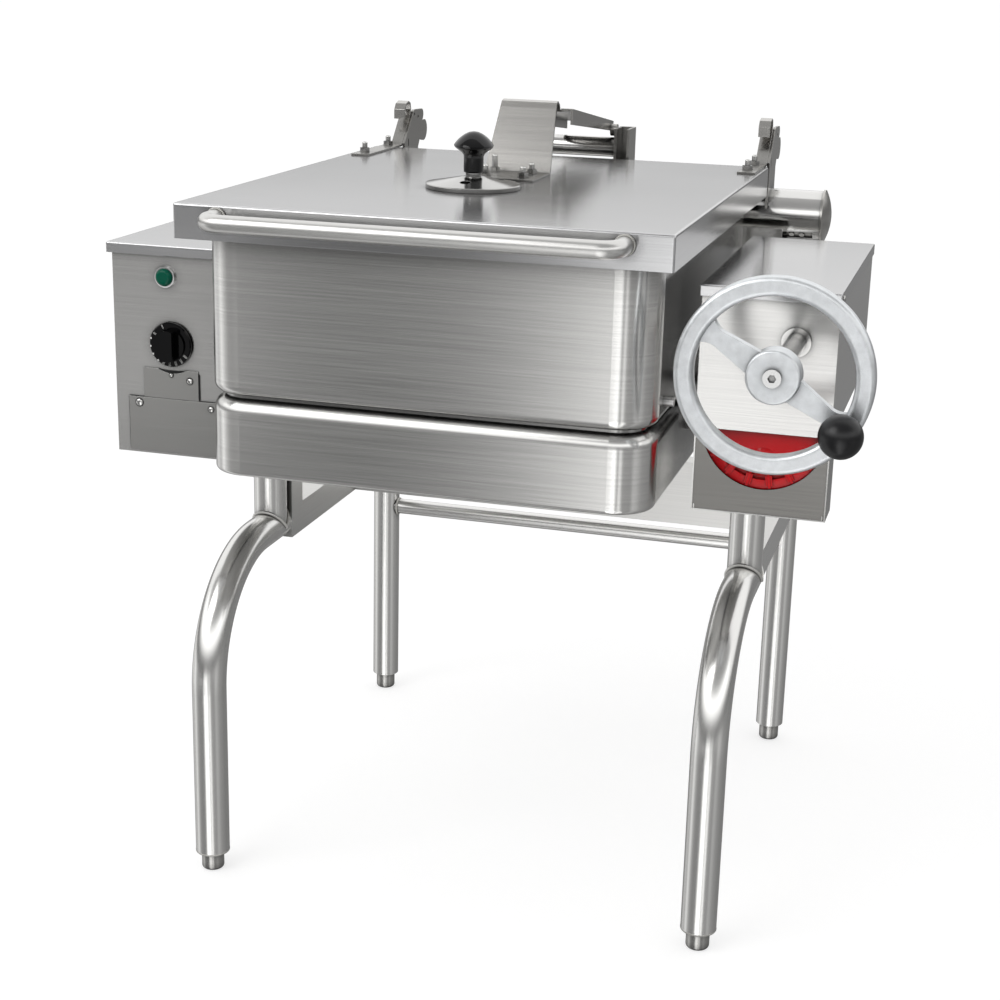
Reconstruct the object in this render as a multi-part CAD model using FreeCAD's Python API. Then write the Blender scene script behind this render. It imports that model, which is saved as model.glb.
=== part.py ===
import FreeCAD, Part
import math
import os

V = FreeCAD.Vector

# Tilting skillet on a pipe stand: a jacketed pan that tilts forward on two trunnions, turned by a
# hand wheel through a worm drive, with a counterbalanced lid. Lengths are millimetres. While the
# pieces are modelled, X runs to the right along the pan, Y runs to the back from the front edge of
# the lid, and Z is the height over the floor. At the end everything is moved so that the origin is
# the middle of the footprint.

# Sheet, gaps and fits
sheet = 1.5
rest_gap = 0.3
running_fit = 0.05
free_hole = 2.0

# Pan
pan_width = 570.0
pan_front = 22.0
pan_back = 702.0
pan_corner = 50.0
pan_bottom = 638.0
seam_height = 739.0
seam_gap = 4.0
seam_inset = 14.0
upper_edge_round = 12.0
lower_edge_round = 18.0
bottom_edge_round = 6.0
insulation_space = 35.0
vessel_wall = 3.0
vessel_corner = 40.0
vessel_floor = 16.0
vessel_floor_top = 768.0
vessel_floor_round = 14.0
rim_thick = 3.0
element_width = 24.0
element_height = 11.0
element_count = 6

# Lid
lid_width = 615.0
lid_depth = 724.0
lid_top = 980.0
lid_skirt = 43.0
lid_edge_round = 3.0
handle_pipe = 21.5
handle_reach = 45.0
handle_half = 250.0
handle_drop = 15.0
handle_bend = 20.0
vent_x = -19.0
vent_y = 296.0
vent_radius = 62.5
vent_rim = 6.0
vent_cone = 9.0
vent_stud = 5.0
vent_hole = 7.0
vent_hole_circle = 36.0
vent_turn_step = 60.0
knob_radius = 26.0
knob_stem = 13.0
knob_height = 58.0

# Lid hinge: torque tube, its bearings and the brackets that carry the lid
tube_y = 775.0
tube_drop = 75.0
tube_radius = 38.1
tube_wall = 3.0
tube_left = -342.0
tube_right = 386.0
cap_dome = 10.0
cap_rim = 2.0
cap_edge = 3.0
plug_length = 56.0
slot_width = 12.0
slot_length = 46.0
slot_angle = 42.0
shelf_half = 336.5
shelf_thick = 6.0
shelf_depth = 100.0
shelf_flange = 60.0
shelf_lip = 27.0
bearing_ring = 8.0
bearing_width = 30.0
bearing_x = 180.0
bracket_sheet = 3.0
bracket_plate_left_x = -268.0
bracket_plate_right_x = 303.0
bracket_foot_width = 26.0
bracket_web_width = 17.0
bracket_foot_left_front = 578.0
bracket_foot_right_front = 618.0
bracket_overhang = 11.0
bracket_curl = 26.0
side_plate = 4.0
side_plate_rise = 52.0
side_plate_front = 41.0
side_plate_back = 27.0
side_plate_lobe = 71.0
side_plate_eye = 2.5
middle_bracket_left = -57.0
middle_bracket_right = 38.0
middle_bracket_front = 386.0
middle_bracket_fold = 478.0
middle_bracket_top_y = 528.0
middle_bracket_rise = 86.0
middle_bracket_curl = 9.0
middle_bracket_taper = 8.0
arm_left = -20.0
arm_right = 56.0
arm_front = 524.0
arm_back = 790.0
arm_front_rise = 88.0
arm_back_rise = 50.0
arm_front_web = 22.0
arm_back_web = 15.0
clevis_left = 66.0
clevis_width = 24.0
clevis_depth = 46.0
clevis_rise = 42.0
clevis_plate = 4.0
clevis_far_plate = -66.0
spring_radius = 15.0
spring_rise = 12.0
arm_pin_radius = 9.0
arm_pin_drop = 4.0
bolt_radius = 4.0
nut_across = 13.0
nut_height = 6.5
bolt_stand = 15.0
stud_stand = 24.0

# Trunnions and worm drive
tilt_y = 290.0
tilt_z = 740.0
trunnion_radius = 20.0
trunnion_flange = 55.0
trunnion_flange_thick = 8.0
trunnion_left_end = -392.0
gear_module = 4.0
gear_teeth = 40
worm_pitch_radius = 15.0
worm_turns = 4
tooth_flank = 20.0
tooth_backlash = 1.3
gear_width = 24.0
gear_hub = 34.0
gear_hub_length = 30.0
wheel_x = 430.0
worm_shaft_radius = 12.0
gear_case_radius = 96.0
gear_case_wall = 8.0
gear_case_inner_x = 392.0
gear_cover_thick = 10.0
gear_cover_boss = 34.0
gear_cover_boss_length = 10.0
worm_barrel = 30.0
worm_barrel_length = 150.0
worm_bush_length = 16.0
gear_foot_height = 14.0
housing_foot_inner = 20.0
nose_radius = 74.0
nose_thick = 10.0
nose_dome = 30.0
stop_pin_radius = 6.0
stop_pin_length = 12.0
stop_pin_y = 100.0
stop_pin_z = 765.0

# Hand wheel
hub_front = -37.0
hub_radius = 31.0
hub_length = 30.0
hand_wheel_radius = 112.5
hand_wheel_rim = 22.5
hand_wheel_rim_depth = 20.0
spoke_root = 15.0
spoke_waist = 9.5
spoke_flare = 22.0
spoke_thick = 12.0
spoke_angle = 149.0
ball_radius = 25.0
ball_circle = 97.0
ball_angle = -32.5
ball_neck = 8.0
hub_screw_head = 10.5
hub_screw_shank = 6.0
hub_screw_height = 5.0
shaft_end_gap = 14.0

# Consoles beside the pan
console_inner = 312.0
console_outer = 480.0
console_front = 171.0
console_back = 579.0
console_bottom = 612.0
console_top = 898.0
console_lid_skirt = 14.0
console_lid_over = 6.0
console_lid_inner_over = 3.0
hood_lid_over = 1.5
lid_screw_inset = 8.0
hood_front_bottom = 718.5
apron_gap = 1.0
apron_return = 56.0
apron_hole_x = 398.5
apron_hole_z = 724.0
apron_hole_radius = 78.0

# Electrical console
lamp_x = -403.0
lamp_z = 855.5
lamp_bezel = 14.0
lamp_lens = 12.0
dial_x = -396.5
dial_z = 765.5
dial_radius = 30.0
dial_skirt = 4.0
dial_grip = 21.0
dial_grip_depth = 14.0
dial_stem = 3.0
service_left = -461.0
service_right = -318.0
service_bottom = 616.0
service_top = 690.0
guard_left = -438.0
guard_right = -359.0
guard_top = 731.0
guard_notch = 40.0
screw_head = 4.0
screw_head_height = 2.0
thermostat_size = 42.0
thermostat_depth = 46.0
gland_radius = 16.0
gland_bore = 9.0
gland_length = 34.0
gland_inset = 60.0
gland_rise = 80.0
gland_flange = 12.0
contactor_inset = 30.0
contactor_width = 60.0
contactor_depth = 75.0
contactor_height = 82.0
contactor_behind = 20.0
contactor_cap = 10.0
terminal_inset = 23.0
terminal_width = 40.0
terminal_depth = 35.0
terminal_height = 34.0
left_bearing_half = 38.0
left_bearing_gap = 24.0
left_bearing_width = 36.0
left_bearing_foot = 14.0

# Stand
floor_gap = 28.0
leg_radius = 24.15
leg_wall = 2.0
rear_leg_radius = 22.25
front_leg_x = 354.0
front_leg_y = 171.0
rear_leg_x = 346.0
rear_leg_y = 895.0
rear_leg_top = 500.0
leg_bend = 175.0
leg_run_z = 450.0
stub_y = 398.0
rail_x = 350.0
rail_width = 40.0
rail_height = 46.0
rail_wall = 2.5
post_depth = 42.0
base_plate_thick = 8.0
base_plate_front = 186.0
hood_plate_outer = 440.0
cross_pipe_radius = 13.0
cross_pipe_z = 341.0
channel_y = 690.0
channel_bottom = 427.0
channel_height = 100.0
channel_flange = 36.0
channel_sheet = 3.0
foot_radius = 16.0
foot_round = 5.0
foot_stem = 6.0
foot_stem_length = 46.0
socket_length = 24.0

# Heights and places that follow from the values above
rim_top = lid_top - sheet - rest_gap
pan_half = pan_width / 2
handle_height = lid_top - handle_drop
tube_z = lid_top - tube_drop
bracket_foot_back = lid_depth + bracket_overhang
middle_bracket_top = lid_top + middle_bracket_rise
arm_front_top = lid_top + arm_front_rise
arm_back_top = lid_top + arm_back_rise
clevis_right = clevis_left + clevis_width
clevis_top = lid_top + clevis_rise
spring_height = lid_top + spring_rise
arm_pin_height = clevis_top - arm_pin_drop
gear_radius = gear_module * gear_teeth / 2
worm_z = tilt_z + gear_radius + worm_pitch_radius
base_plate_top = console_bottom + base_plate_thick
gear_cavity_half = gear_hub_length / 2 + 1
gear_cover_x = wheel_x + gear_cavity_half
rim_front = hub_front + 2.0


def box(x0, x1, y0, y1, z0, z1):
    """Box between two corners."""
    return Part.makeBox(x1 - x0, y1 - y0, z1 - z0, V(x0, y0, z0))


def rod(radius, start, end):
    """Round bar between two points."""
    return Part.makeCylinder(radius, (end - start).Length, start, end - start)


def tube(radius, wall, start, end):
    """Round tube between two points."""
    return rod(radius, start, end).cut(rod(radius - wall, start, end))


def outline(points):
    """Closed flat face through the given corners."""
    return Part.Face(Part.makePolygon(points + points[:1]))


def rounded_slab(half, front, back, radius, low, high):
    """Upright block whose plan is a rectangle with round vertical edges."""
    block = box(-half, half, front, back, low, high)
    upright = [e for e in block.Edges if abs(e.tangentAt(e.FirstParameter).z) > 0.9]
    return block.makeFillet(radius, upright)


def edges_at(shape, height):
    """Edges of a shape that lie flat at one height."""
    return [e for e in shape.Edges if abs(e.BoundBox.ZMin - height) < 0.01 and e.BoundBox.ZLength < 0.01]


def pan_slab(inset, low, high):
    """Block with the pan's plan, taken in by an inset on every side."""
    corner = max(pan_corner - inset, 4.0)
    return rounded_slab(pan_half - inset, pan_front + inset, pan_back - inset, corner, low, high)


def bent_bar(path, radius):
    """Round bar swept along a wire that starts at the wire's first point."""
    first = path.OrderedEdges[0]
    start = first.valueAt(first.FirstParameter)
    ring = Part.Wire(Part.makeCircle(radius, start, first.tangentAt(first.FirstParameter)))
    return path.makePipeShell([ring], True, False)


def hex_nut(x, y, z, stand, axis=V(0, 0, 1)):
    """Hexagon nut standing on a face, with its bolt's end reaching to a height over the face."""
    corner = nut_across / 2 / math.cos(math.radians(30))
    ring = [V(corner * math.cos(math.radians(a)), corner * math.sin(math.radians(a)), 0) for a in range(0, 360, 60)]
    nut = outline(ring).extrude(V(0, 0, nut_height))
    end = Part.makeCylinder(bolt_radius, stand)
    nut = nut.fuse(end.makeFillet(bolt_radius * 0.5, edges_at(end, stand)))
    nut.Placement = FreeCAD.Placement(V(x, y, z), FreeCAD.Rotation(V(0, 0, 1), axis))
    return nut


def pan_head(x, z, y):
    """Round screw head on a face that looks to the front."""
    head = rod(screw_head, V(x, y, z), V(x, y - screw_head_height, z))
    front = [e for e in head.Edges if abs(e.BoundBox.YMax - (y - screw_head_height)) < 0.01]
    return head.makeFillet(screw_head_height * 0.6, front)


def sheet_strip(left, right, profile, thick):
    """Bent sheet: a profile of (y, z) points given a thickness and drawn out along X."""
    points = [V(left, y, z) for y, z in profile]
    normals = [V(0, a.z - b.z, b.y - a.y).normalize() for a, b in zip(points, points[1:])]
    upper = []
    lower = []
    for i, point in enumerate(points):
        before = normals[max(i - 1, 0)]
        after = normals[min(i, len(normals) - 1)]
        mitre = (before + after) * (thick / 2 / (1 + before.dot(after)))
        upper.append(point + mitre)
        lower.append(point - mitre)
    return outline(upper + lower[::-1]).extrude(V(right - left, 0, 0))


# Pan

def make_vessel():
    """Cooking vessel: round-cornered tub with a thick floor and a rim that lies on the jacket."""
    outer_inset = insulation_space
    outer = rounded_slab(pan_half - outer_inset, pan_front + outer_inset, pan_back - outer_inset,
                         vessel_corner + vessel_wall, vessel_floor_top - vessel_floor, rim_top)
    rim = pan_slab(0, rim_top - rim_thick, rim_top)
    inner_inset = insulation_space + vessel_wall
    inner = rounded_slab(pan_half - inner_inset, pan_front + inner_inset, pan_back - inner_inset,
                         vessel_corner, vessel_floor_top, rim_top + 1)
    inner = inner.makeFillet(vessel_floor_round, edges_at(inner, vessel_floor_top))
    return outer.fuse(rim).cut(inner)


def make_jacket():
    """Upper skin round the vessel, turned in at its bottom edge."""
    low = seam_height + seam_gap / 2
    high = rim_top - rim_thick
    outer = pan_slab(0, low, high)
    outer = outer.makeFillet(upper_edge_round, edges_at(outer, low))
    inner = pan_slab(sheet, low + sheet, high + 1)
    inner = inner.makeFillet(upper_edge_round - sheet, edges_at(inner, low + sheet))
    opening = pan_slab(upper_edge_round + seam_inset, low - 1, low + sheet + 1)
    return outer.cut(inner).cut(opening)


def make_base_jacket():
    """Lower skin with a rounded shoulder and a sunk collar that carries the upper one."""
    high = seam_height - seam_gap / 2
    outer = pan_slab(0, pan_bottom, high)
    outer = outer.makeFillet(lower_edge_round, edges_at(outer, high))
    outer = outer.makeFillet(bottom_edge_round, edges_at(outer, pan_bottom))
    collar = pan_slab(seam_inset, high - 1, high + seam_gap)
    inner = pan_slab(sheet, pan_bottom + sheet, high - sheet)
    inner = inner.makeFillet(lower_edge_round - sheet, edges_at(inner, high - sheet))
    inner = inner.makeFillet(bottom_edge_round - sheet, edges_at(inner, pan_bottom + sheet))
    opening = pan_slab(upper_edge_round + seam_inset, high - sheet - 1, high + seam_gap + 1)
    return outer.fuse(collar).cut(inner).cut(opening)


def make_insulation():
    """Blanket round the vessel and a slab in the base."""
    low = seam_height + seam_gap / 2 + sheet + rest_gap
    blanket = pan_slab(upper_edge_round + rest_gap, low, rim_top - rim_thick - rest_gap)
    room = rounded_slab(pan_half - insulation_space + rest_gap, pan_front + insulation_space - rest_gap,
                        pan_back - insulation_space + rest_gap, vessel_corner + vessel_wall, low - 1, rim_top)
    slab_top = vessel_floor_top - vessel_floor - element_height - rest_gap
    slab = pan_slab(insulation_space, pan_bottom + sheet, slab_top)
    return Part.makeCompound([blanket.cut(room), slab])


def make_elements():
    """Flat heating bars clamped under the vessel's floor."""
    high = vessel_floor_top - vessel_floor
    half = pan_half - insulation_space - 2 * element_width
    spread = pan_back - pan_front - 2 * insulation_space - 4 * element_width
    step = spread / (element_count - 1)
    first = (pan_front + pan_back - spread) / 2
    bars = [box(-half, half, first + i * step - element_width / 2, first + i * step + element_width / 2,
                high - element_height, high) for i in range(element_count)]
    return Part.makeCompound(bars)


def make_trunnion(side, end):
    """Flanged stub shaft on one side of the pan."""
    root = side * pan_half
    flange = rod(trunnion_flange, V(root, tilt_y, tilt_z), V(root + side * trunnion_flange_thick, tilt_y, tilt_z))
    shaft = rod(trunnion_radius, V(root, tilt_y, tilt_z), V(end, tilt_y, tilt_z))
    return flange.fuse(shaft)


def make_stop_pin():
    """Short pin on the pan's side that meets the tilt stop."""
    return rod(stop_pin_radius, V(pan_half, stop_pin_y, stop_pin_z),
               V(pan_half + stop_pin_length, stop_pin_y, stop_pin_z))


def make_hinge_shelf():
    """Shelf behind the pan with an upright lip, which carries the bearings of the torque tube."""
    top = tube_z - tube_radius - rest_gap
    shelf = box(-shelf_half, shelf_half, pan_back, pan_back + shelf_depth, top - shelf_thick, top)
    back = box(-pan_half + pan_corner, pan_half - pan_corner, pan_back, pan_back + shelf_thick / 2,
               top - shelf_thick - shelf_flange, top)
    lip = box(-shelf_half, shelf_half, pan_back, pan_back + shelf_thick, top - shelf_thick, top + shelf_lip)
    gussets = []
    for x in (-bearing_x, 0, bearing_x):
        corners = [V(x - shelf_thick / 2, pan_back, top - shelf_thick - shelf_flange),
                   V(x - shelf_thick / 2, pan_back, top - shelf_thick),
                   V(x - shelf_thick / 2, pan_back + shelf_depth * 0.8, top - shelf_thick)]
        gussets.append(outline(corners).extrude(V(shelf_thick, 0, 0)))
    return shelf.multiFuse([back, lip] + gussets)


def make_tube_bearings():
    """Two bearing blocks on the shelf, each a ring round the torque tube with a foot."""
    blocks = []
    shelf_top = tube_z - tube_radius - rest_gap
    outer = tube_radius + bearing_ring
    for x in (-bearing_x, bearing_x):
        left = x - bearing_width / 2
        right = x + bearing_width / 2
        ring = rod(outer, V(left, tube_y, tube_z), V(right, tube_y, tube_z))
        foot = box(left, right, tube_y - outer, tube_y + shelf_depth + pan_back - tube_y, shelf_top, tube_z)
        above = box(left - 1, right + 1, tube_y - outer - 1, tube_y + outer + 1, shelf_top - outer, shelf_top)
        bore = rod(tube_radius + running_fit, V(left - 1, tube_y, tube_z), V(right + 1, tube_y, tube_z))
        blocks.append(ring.fuse(foot).cut(bore).cut(above))
    return Part.makeCompound(blocks)


# Lid

def make_lid():
    """Folded lid with a skirt all round, the vent's stud and its steam holes."""
    half = lid_width / 2
    outer = box(-half, half, 0, lid_depth, lid_top - lid_skirt, lid_top)
    outer = outer.makeFillet(lid_edge_round, [e for e in outer.Edges if e.BoundBox.ZMax > lid_top - 1
                                              or e.BoundBox.ZLength > lid_skirt - 1])
    inner = box(-half + sheet, half - sheet, sheet, lid_depth - sheet, lid_top - lid_skirt - 1, lid_top - sheet)
    stud = rod(vent_stud, V(vent_x, vent_y, lid_top - sheet), V(vent_x, vent_y, lid_top + vent_rim + vent_cone))
    holes = [rod(vent_hole, V(x, y, lid_top - 5), V(x, y, lid_top + 1)) for x, y in vent_hole_places(0)]
    return outer.cut(inner).fuse(stud).cut(Part.makeCompound(holes))


def vent_hole_places(turn):
    """Centres of the three steam holes, turned by an angle about the vent's middle."""
    angles = [math.radians(90 + turn + 120 * i) for i in range(3)]
    return [(vent_x + vent_hole_circle * math.cos(a), vent_y + vent_hole_circle * math.sin(a)) for a in angles]


def make_vent_disc():
    """Turning vent plate: low rim, cone to the middle and three steam slots."""
    low = lid_top + rest_gap
    shoulder = low + vent_rim
    profile = [V(vent_stud + running_fit, 0, low), V(vent_radius, 0, low), V(vent_radius, 0, shoulder - 1),
               V(vent_radius - 1, 0, shoulder), V(knob_stem, 0, low + vent_rim + vent_cone),
               V(vent_stud + running_fit, 0, low + vent_rim + vent_cone)]
    disc = outline(profile).revolve(V(0, 0, 0), V(0, 0, 1), 360)
    disc.translate(V(vent_x, vent_y, 0))
    slots = [rod(vent_hole, V(x, y, low - 1), V(x, y, lid_top + 30)) for x, y in vent_hole_places(vent_turn_step)]
    return disc.cut(Part.makeCompound(slots))


def make_vent_knob():
    """Mushroom knob with a metal-sleeved stem, standing on the vent plate."""
    low = lid_top + rest_gap + vent_rim + vent_cone
    brim = low + knob_height - knob_radius
    slant = knob_radius * math.sin(math.radians(45))
    sleeve = knob_stem * 0.75
    sleeve_top = low + knob_height * 0.14
    stem_top = brim - knob_radius * 0.4
    stem_middle = (sleeve_top + stem_top) / 2
    edge = V(knob_radius, 0, brim)
    crown = V(0, 0, low + knob_height)
    lines = [Part.LineSegment(V(0, 0, low), V(sleeve, 0, low)),
             Part.LineSegment(V(sleeve, 0, low), V(sleeve, 0, sleeve_top)),
             Part.LineSegment(V(sleeve, 0, sleeve_top), V(knob_stem, 0, sleeve_top)),
             Part.Arc(V(knob_stem, 0, sleeve_top), V(knob_stem * 0.9, 0, stem_middle), V(knob_stem, 0, stem_top)),
             Part.Arc(V(knob_stem, 0, stem_top), V(knob_radius * 0.82, 0, brim - knob_radius * 0.24), edge),
             Part.Arc(edge, V(slant, 0, brim + slant), crown),
             Part.LineSegment(crown, V(0, 0, low))]
    face = Part.Face(Part.Wire([line.toShape() for line in lines]))
    knob = face.revolve(V(0, 0, 0), V(0, 0, 1), 360)
    knob.translate(V(vent_x, vent_y, 0))
    return knob


def make_handle():
    """Bar handle along the front of the lid, bent back to the skirt at both ends."""
    bar_y = -handle_reach
    turn = handle_bend
    near = turn * (1 - math.cos(math.radians(45)))
    edges = []
    for side in (-1, 1):
        root = V(side * handle_half, 0, handle_height)
        bend_start = V(side * handle_half, bar_y + turn, handle_height)
        bend_middle = V(side * (handle_half - near), bar_y + near, handle_height)
        bend_end = V(side * (handle_half - turn), bar_y, handle_height)
        edges.append((root, bend_start, bend_middle, bend_end))
    left, right = edges
    path = Part.Wire([Part.makeLine(left[0], left[1]), Part.Arc(left[1], left[2], left[3]).toShape(),
                      Part.makeLine(left[3], right[3]), Part.Arc(right[3], right[2], right[1]).toShape(),
                      Part.makeLine(right[1], right[0])])
    return bent_bar(path, handle_pipe / 2)


def tube_saddle():
    """Space of the torque tube, to shape what sits on it."""
    return rod(tube_radius, V(tube_left - 50, tube_y, tube_z), V(tube_right + 50, tube_y, tube_z))


def make_side_plate(x):
    """Hinge bracket's side plate: two round lobes at the back, two eyes, a slot and a foot on the tube."""
    def at(behind, rise):
        return V(x, tube_y + behind, lid_top + rise)

    top = side_plate_rise
    lobe = side_plate_lobe
    low = tube_z + tube_radius * 0.3 - lid_top
    lines = [Part.LineSegment(at(-side_plate_front, 5), at(0, top - 4)),
             Part.Arc(at(0, top - 4), at(4, top), at(11, top + 1)),
             Part.LineSegment(at(11, top + 1), at(lobe * 0.58, top)),
             Part.Arc(at(lobe * 0.58, top), at(lobe * 0.73, top - 8), at(lobe * 0.62, top - 18)),
             Part.LineSegment(at(lobe * 0.62, top - 18), at(lobe * 0.86, top - 18)),
             Part.Arc(at(lobe * 0.86, top - 18), at(lobe, top - 33), at(lobe * 0.66, top - 49)),
             Part.LineSegment(at(lobe * 0.66, top - 49), at(lobe * 0.5, top - 46)),
             Part.LineSegment(at(lobe * 0.5, top - 46), at(side_plate_back, top - 58)),
             Part.LineSegment(at(side_plate_back, top - 58), at(side_plate_back, low)),
             Part.LineSegment(at(side_plate_back, low), at(-side_plate_front + 4, low)),
             Part.LineSegment(at(-side_plate_front + 4, low), at(-side_plate_front + 4, -5)),
             Part.LineSegment(at(-side_plate_front + 4, -5), at(-side_plate_front, 5))]
    plate = Part.Face(Part.Wire([line.toShape() for line in lines])).extrude(V(side_plate, 0, 0))
    across = V(side_plate + 2, 0, 0)
    eyes = [rod(side_plate_eye, at(lobe * share, top - drop) - V(1, 0, 0), at(lobe * share, top - drop) + across)
            for share, drop in ((0.1, 6), (0.36, 11))]
    slot = box(x - 1, x + side_plate + 1, tube_y - side_plate_front / 2 - 2, tube_y - side_plate_front / 2 + 1,
               lid_top - 2, lid_top + 10)
    return plate.cut(tube_saddle()).cut(eyes + [slot])


def make_hinge_bracket(right, foot_front):
    """Lid bracket: foot strip, narrower web that leans back to a curled head, and the side plate."""
    half = bracket_sheet / 2
    foot = box(right - bracket_foot_width, right, foot_front, bracket_foot_back, lid_top, lid_top + bracket_sheet)
    head_y = tube_y
    head_z = lid_top + side_plate_rise + 6
    curl = bracket_curl
    web = sheet_strip(right - bracket_web_width, right,
                      [(bracket_foot_back - 3, lid_top + half), (head_y - 2, head_z - curl * 0.5),
                       (head_y + 1, head_z - 4), (head_y - 2, head_z + 5), (head_y - curl * 0.4, head_z + 8),
                       (head_y - curl * 0.85, head_z + 5), (head_y - curl * 1.1, head_z - 3),
                       (head_y - curl * 1.1, head_z - curl * 0.65)], bracket_sheet)
    return foot.multiFuse([web, make_side_plate(right)])


def make_middle_bracket():
    """Folded bracket on the lid: foot, tapered face that leans back, and a curled top edge."""
    half = bracket_sheet / 2
    left = middle_bracket_left
    right = middle_bracket_right
    top_y = middle_bracket_top_y
    top = middle_bracket_top
    curl = middle_bracket_curl
    profile = [(middle_bracket_front, lid_top + half), (middle_bracket_fold, lid_top + half), (top_y, top),
               (top_y + curl * 0.5, top + curl * 0.8), (top_y + curl * 1.3, top + curl),
               (top_y + curl * 2.1, top + curl * 0.5), (top_y + curl * 2.4, top - curl * 0.5)]
    folded = sheet_strip(left, right, profile, bracket_sheet)
    back_y = top_y + curl * 3
    high = top + curl * 2
    wedges = []
    for edge, side in ((left, 1), (right, -1)):
        corners = [V(edge, middle_bracket_front - 1, lid_top + bracket_sheet),
                   V(edge - side, middle_bracket_front - 1, high), V(edge + side * middle_bracket_taper,
                   middle_bracket_front - 1, high)]
        wedges.append(outline(corners).extrude(V(0, back_y - middle_bracket_front + 2, 0)))
    return folded.cut(Part.makeCompound(wedges))


def bolt_places():
    """Bolts on the lid, each with its height: four through the middle bracket, two through each hinge bracket."""
    middle = (middle_bracket_left + middle_bracket_right) / 2
    across = (middle_bracket_right - middle_bracket_left) * 0.28
    front = middle_bracket_front + 24
    back = middle_bracket_fold - 22
    places = [(middle - across, front, bolt_stand), (middle + across, front, bolt_stand),
              (middle - across, back, stud_stand), (middle + across, back, bolt_stand)]
    for right, foot_front in ((bracket_plate_left_x, bracket_foot_left_front),
                              (bracket_plate_right_x, bracket_foot_right_front)):
        centre = right - bracket_foot_width * 0.6
        places += [(centre, foot_front + 30, bolt_stand), (centre, bracket_foot_back - 22, bolt_stand)]
    return places


def make_lid_bolts():
    """Nuts and bolt ends on the lid's brackets."""
    return Part.makeCompound([hex_nut(x, y, lid_top + bracket_sheet, stand) for x, y, stand in bolt_places()])


def make_arm():
    """Lift arm: an upside-down channel from the middle bracket back to the clevis."""
    def side_face(x):
        return outline([V(x, arm_front, arm_front_top), V(x, arm_back, arm_back_top),
                        V(x, arm_back, arm_back_top - arm_back_web),
                        V(x, arm_front, arm_front_top - arm_front_web)])
    outer = side_face(arm_left).extrude(V(arm_right - arm_left, 0, 0))
    inner = side_face(arm_left + bracket_sheet).extrude(V(arm_right - arm_left - 2 * bracket_sheet, 0, 0))
    inner.translate(V(0, 0, -bracket_sheet))
    curl_room = box(middle_bracket_left, middle_bracket_right + 1, arm_front - 1,
                    middle_bracket_top_y + middle_bracket_curl * 3, arm_front_top - 60, arm_front_top + 20)
    return outer.cut(inner).cut(curl_room)


def make_clevis():
    """Upright channel on the torque tube that holds the end of the lift arm, with its far plate."""
    front = tube_y - clevis_depth / 2
    back = tube_y + clevis_depth / 2
    outer = box(clevis_left, clevis_right, front, back, tube_z, clevis_top)
    outer = outer.cut(box(clevis_left + clevis_plate, clevis_right - clevis_plate, front - 1,
                          back - clevis_plate, tube_z, clevis_top + 1))
    far = box(clevis_far_plate - clevis_plate, clevis_far_plate, front, back, tube_z,
              spring_height + spring_radius + clevis_plate)
    ring = tube_saddle()
    pin = rod(arm_pin_radius, V(arm_right, tube_y, arm_pin_height), V(clevis_left, tube_y, arm_pin_height))
    return Part.makeCompound([outer.cut(ring).fuse(pin), far.cut(ring)])


def make_lift_spring():
    """Round spring housing between the clevis and its far plate."""
    return rod(spring_radius, V(clevis_far_plate, tube_y, spring_height), V(clevis_left, tube_y, spring_height))


def tube_slot(end, side):
    """Slot low on the front of the tube near one end, where its plug's clamp screws are reached."""
    near = end - side * cap_dome
    far = near - side * slot_length
    slot = box(min(near, far), max(near, far), tube_y - tube_radius - 1, tube_y - tube_radius + tube_wall + 2,
               tube_z - slot_width / 2, tube_z + slot_width / 2)
    slot.rotate(V(0, tube_y, tube_z), V(1, 0, 0), slot_angle)
    return slot


def make_torque_tube():
    """Tube that the lid turns on, slotted near both ends."""
    body = tube(tube_radius, tube_wall, V(tube_left, tube_y, tube_z), V(tube_right, tube_y, tube_z))
    return body.cut([tube_slot(tube_left, -1), tube_slot(tube_right, 1)])


def make_tube_caps():
    """Domed caps with a rim on both ends of the torque tube, each with a plug and two clamp screws."""
    caps = []
    for end, side in ((tube_left, -1), (tube_right, 1)):
        radius = tube_radius + cap_rim
        face = end + side * cap_edge
        dome = (radius ** 2 + cap_dome ** 2) / (2 * cap_dome)
        ball = Part.makeSphere(dome, V(face - side * (dome - cap_dome), tube_y, tube_z))
        ball = ball.common(rod(radius, V(face, tube_y, tube_z), V(face + side * cap_dome, tube_y, tube_z)))
        edge = rod(radius, V(end, tube_y, tube_z), V(face, tube_y, tube_z))
        plug = rod(tube_radius - tube_wall, V(end - side * plug_length, tube_y, tube_z), V(end, tube_y, tube_z))
        cap = ball.multiFuse([edge, plug])
        for share in (0.35, 0.68):
            x = end - side * (cap_dome + slot_length * share)
            screw = rod(screw_head, V(x, tube_y - tube_radius + tube_wall + 3, tube_z),
                        V(x, tube_y - tube_radius + 0.5, tube_z))
            screw.rotate(V(0, tube_y, tube_z), V(1, 0, 0), slot_angle)
            cap = cap.fuse(screw)
        caps.append(cap)
    return Part.makeCompound(caps)


# Worm drive

def tooth_half_width(radius):
    """Half the thickness of a wheel tooth at a radius."""
    pitch_half = math.pi * gear_module / 4 - tooth_backlash / 2
    return pitch_half - (radius - gear_radius) * math.tan(math.radians(tooth_flank))


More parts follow.
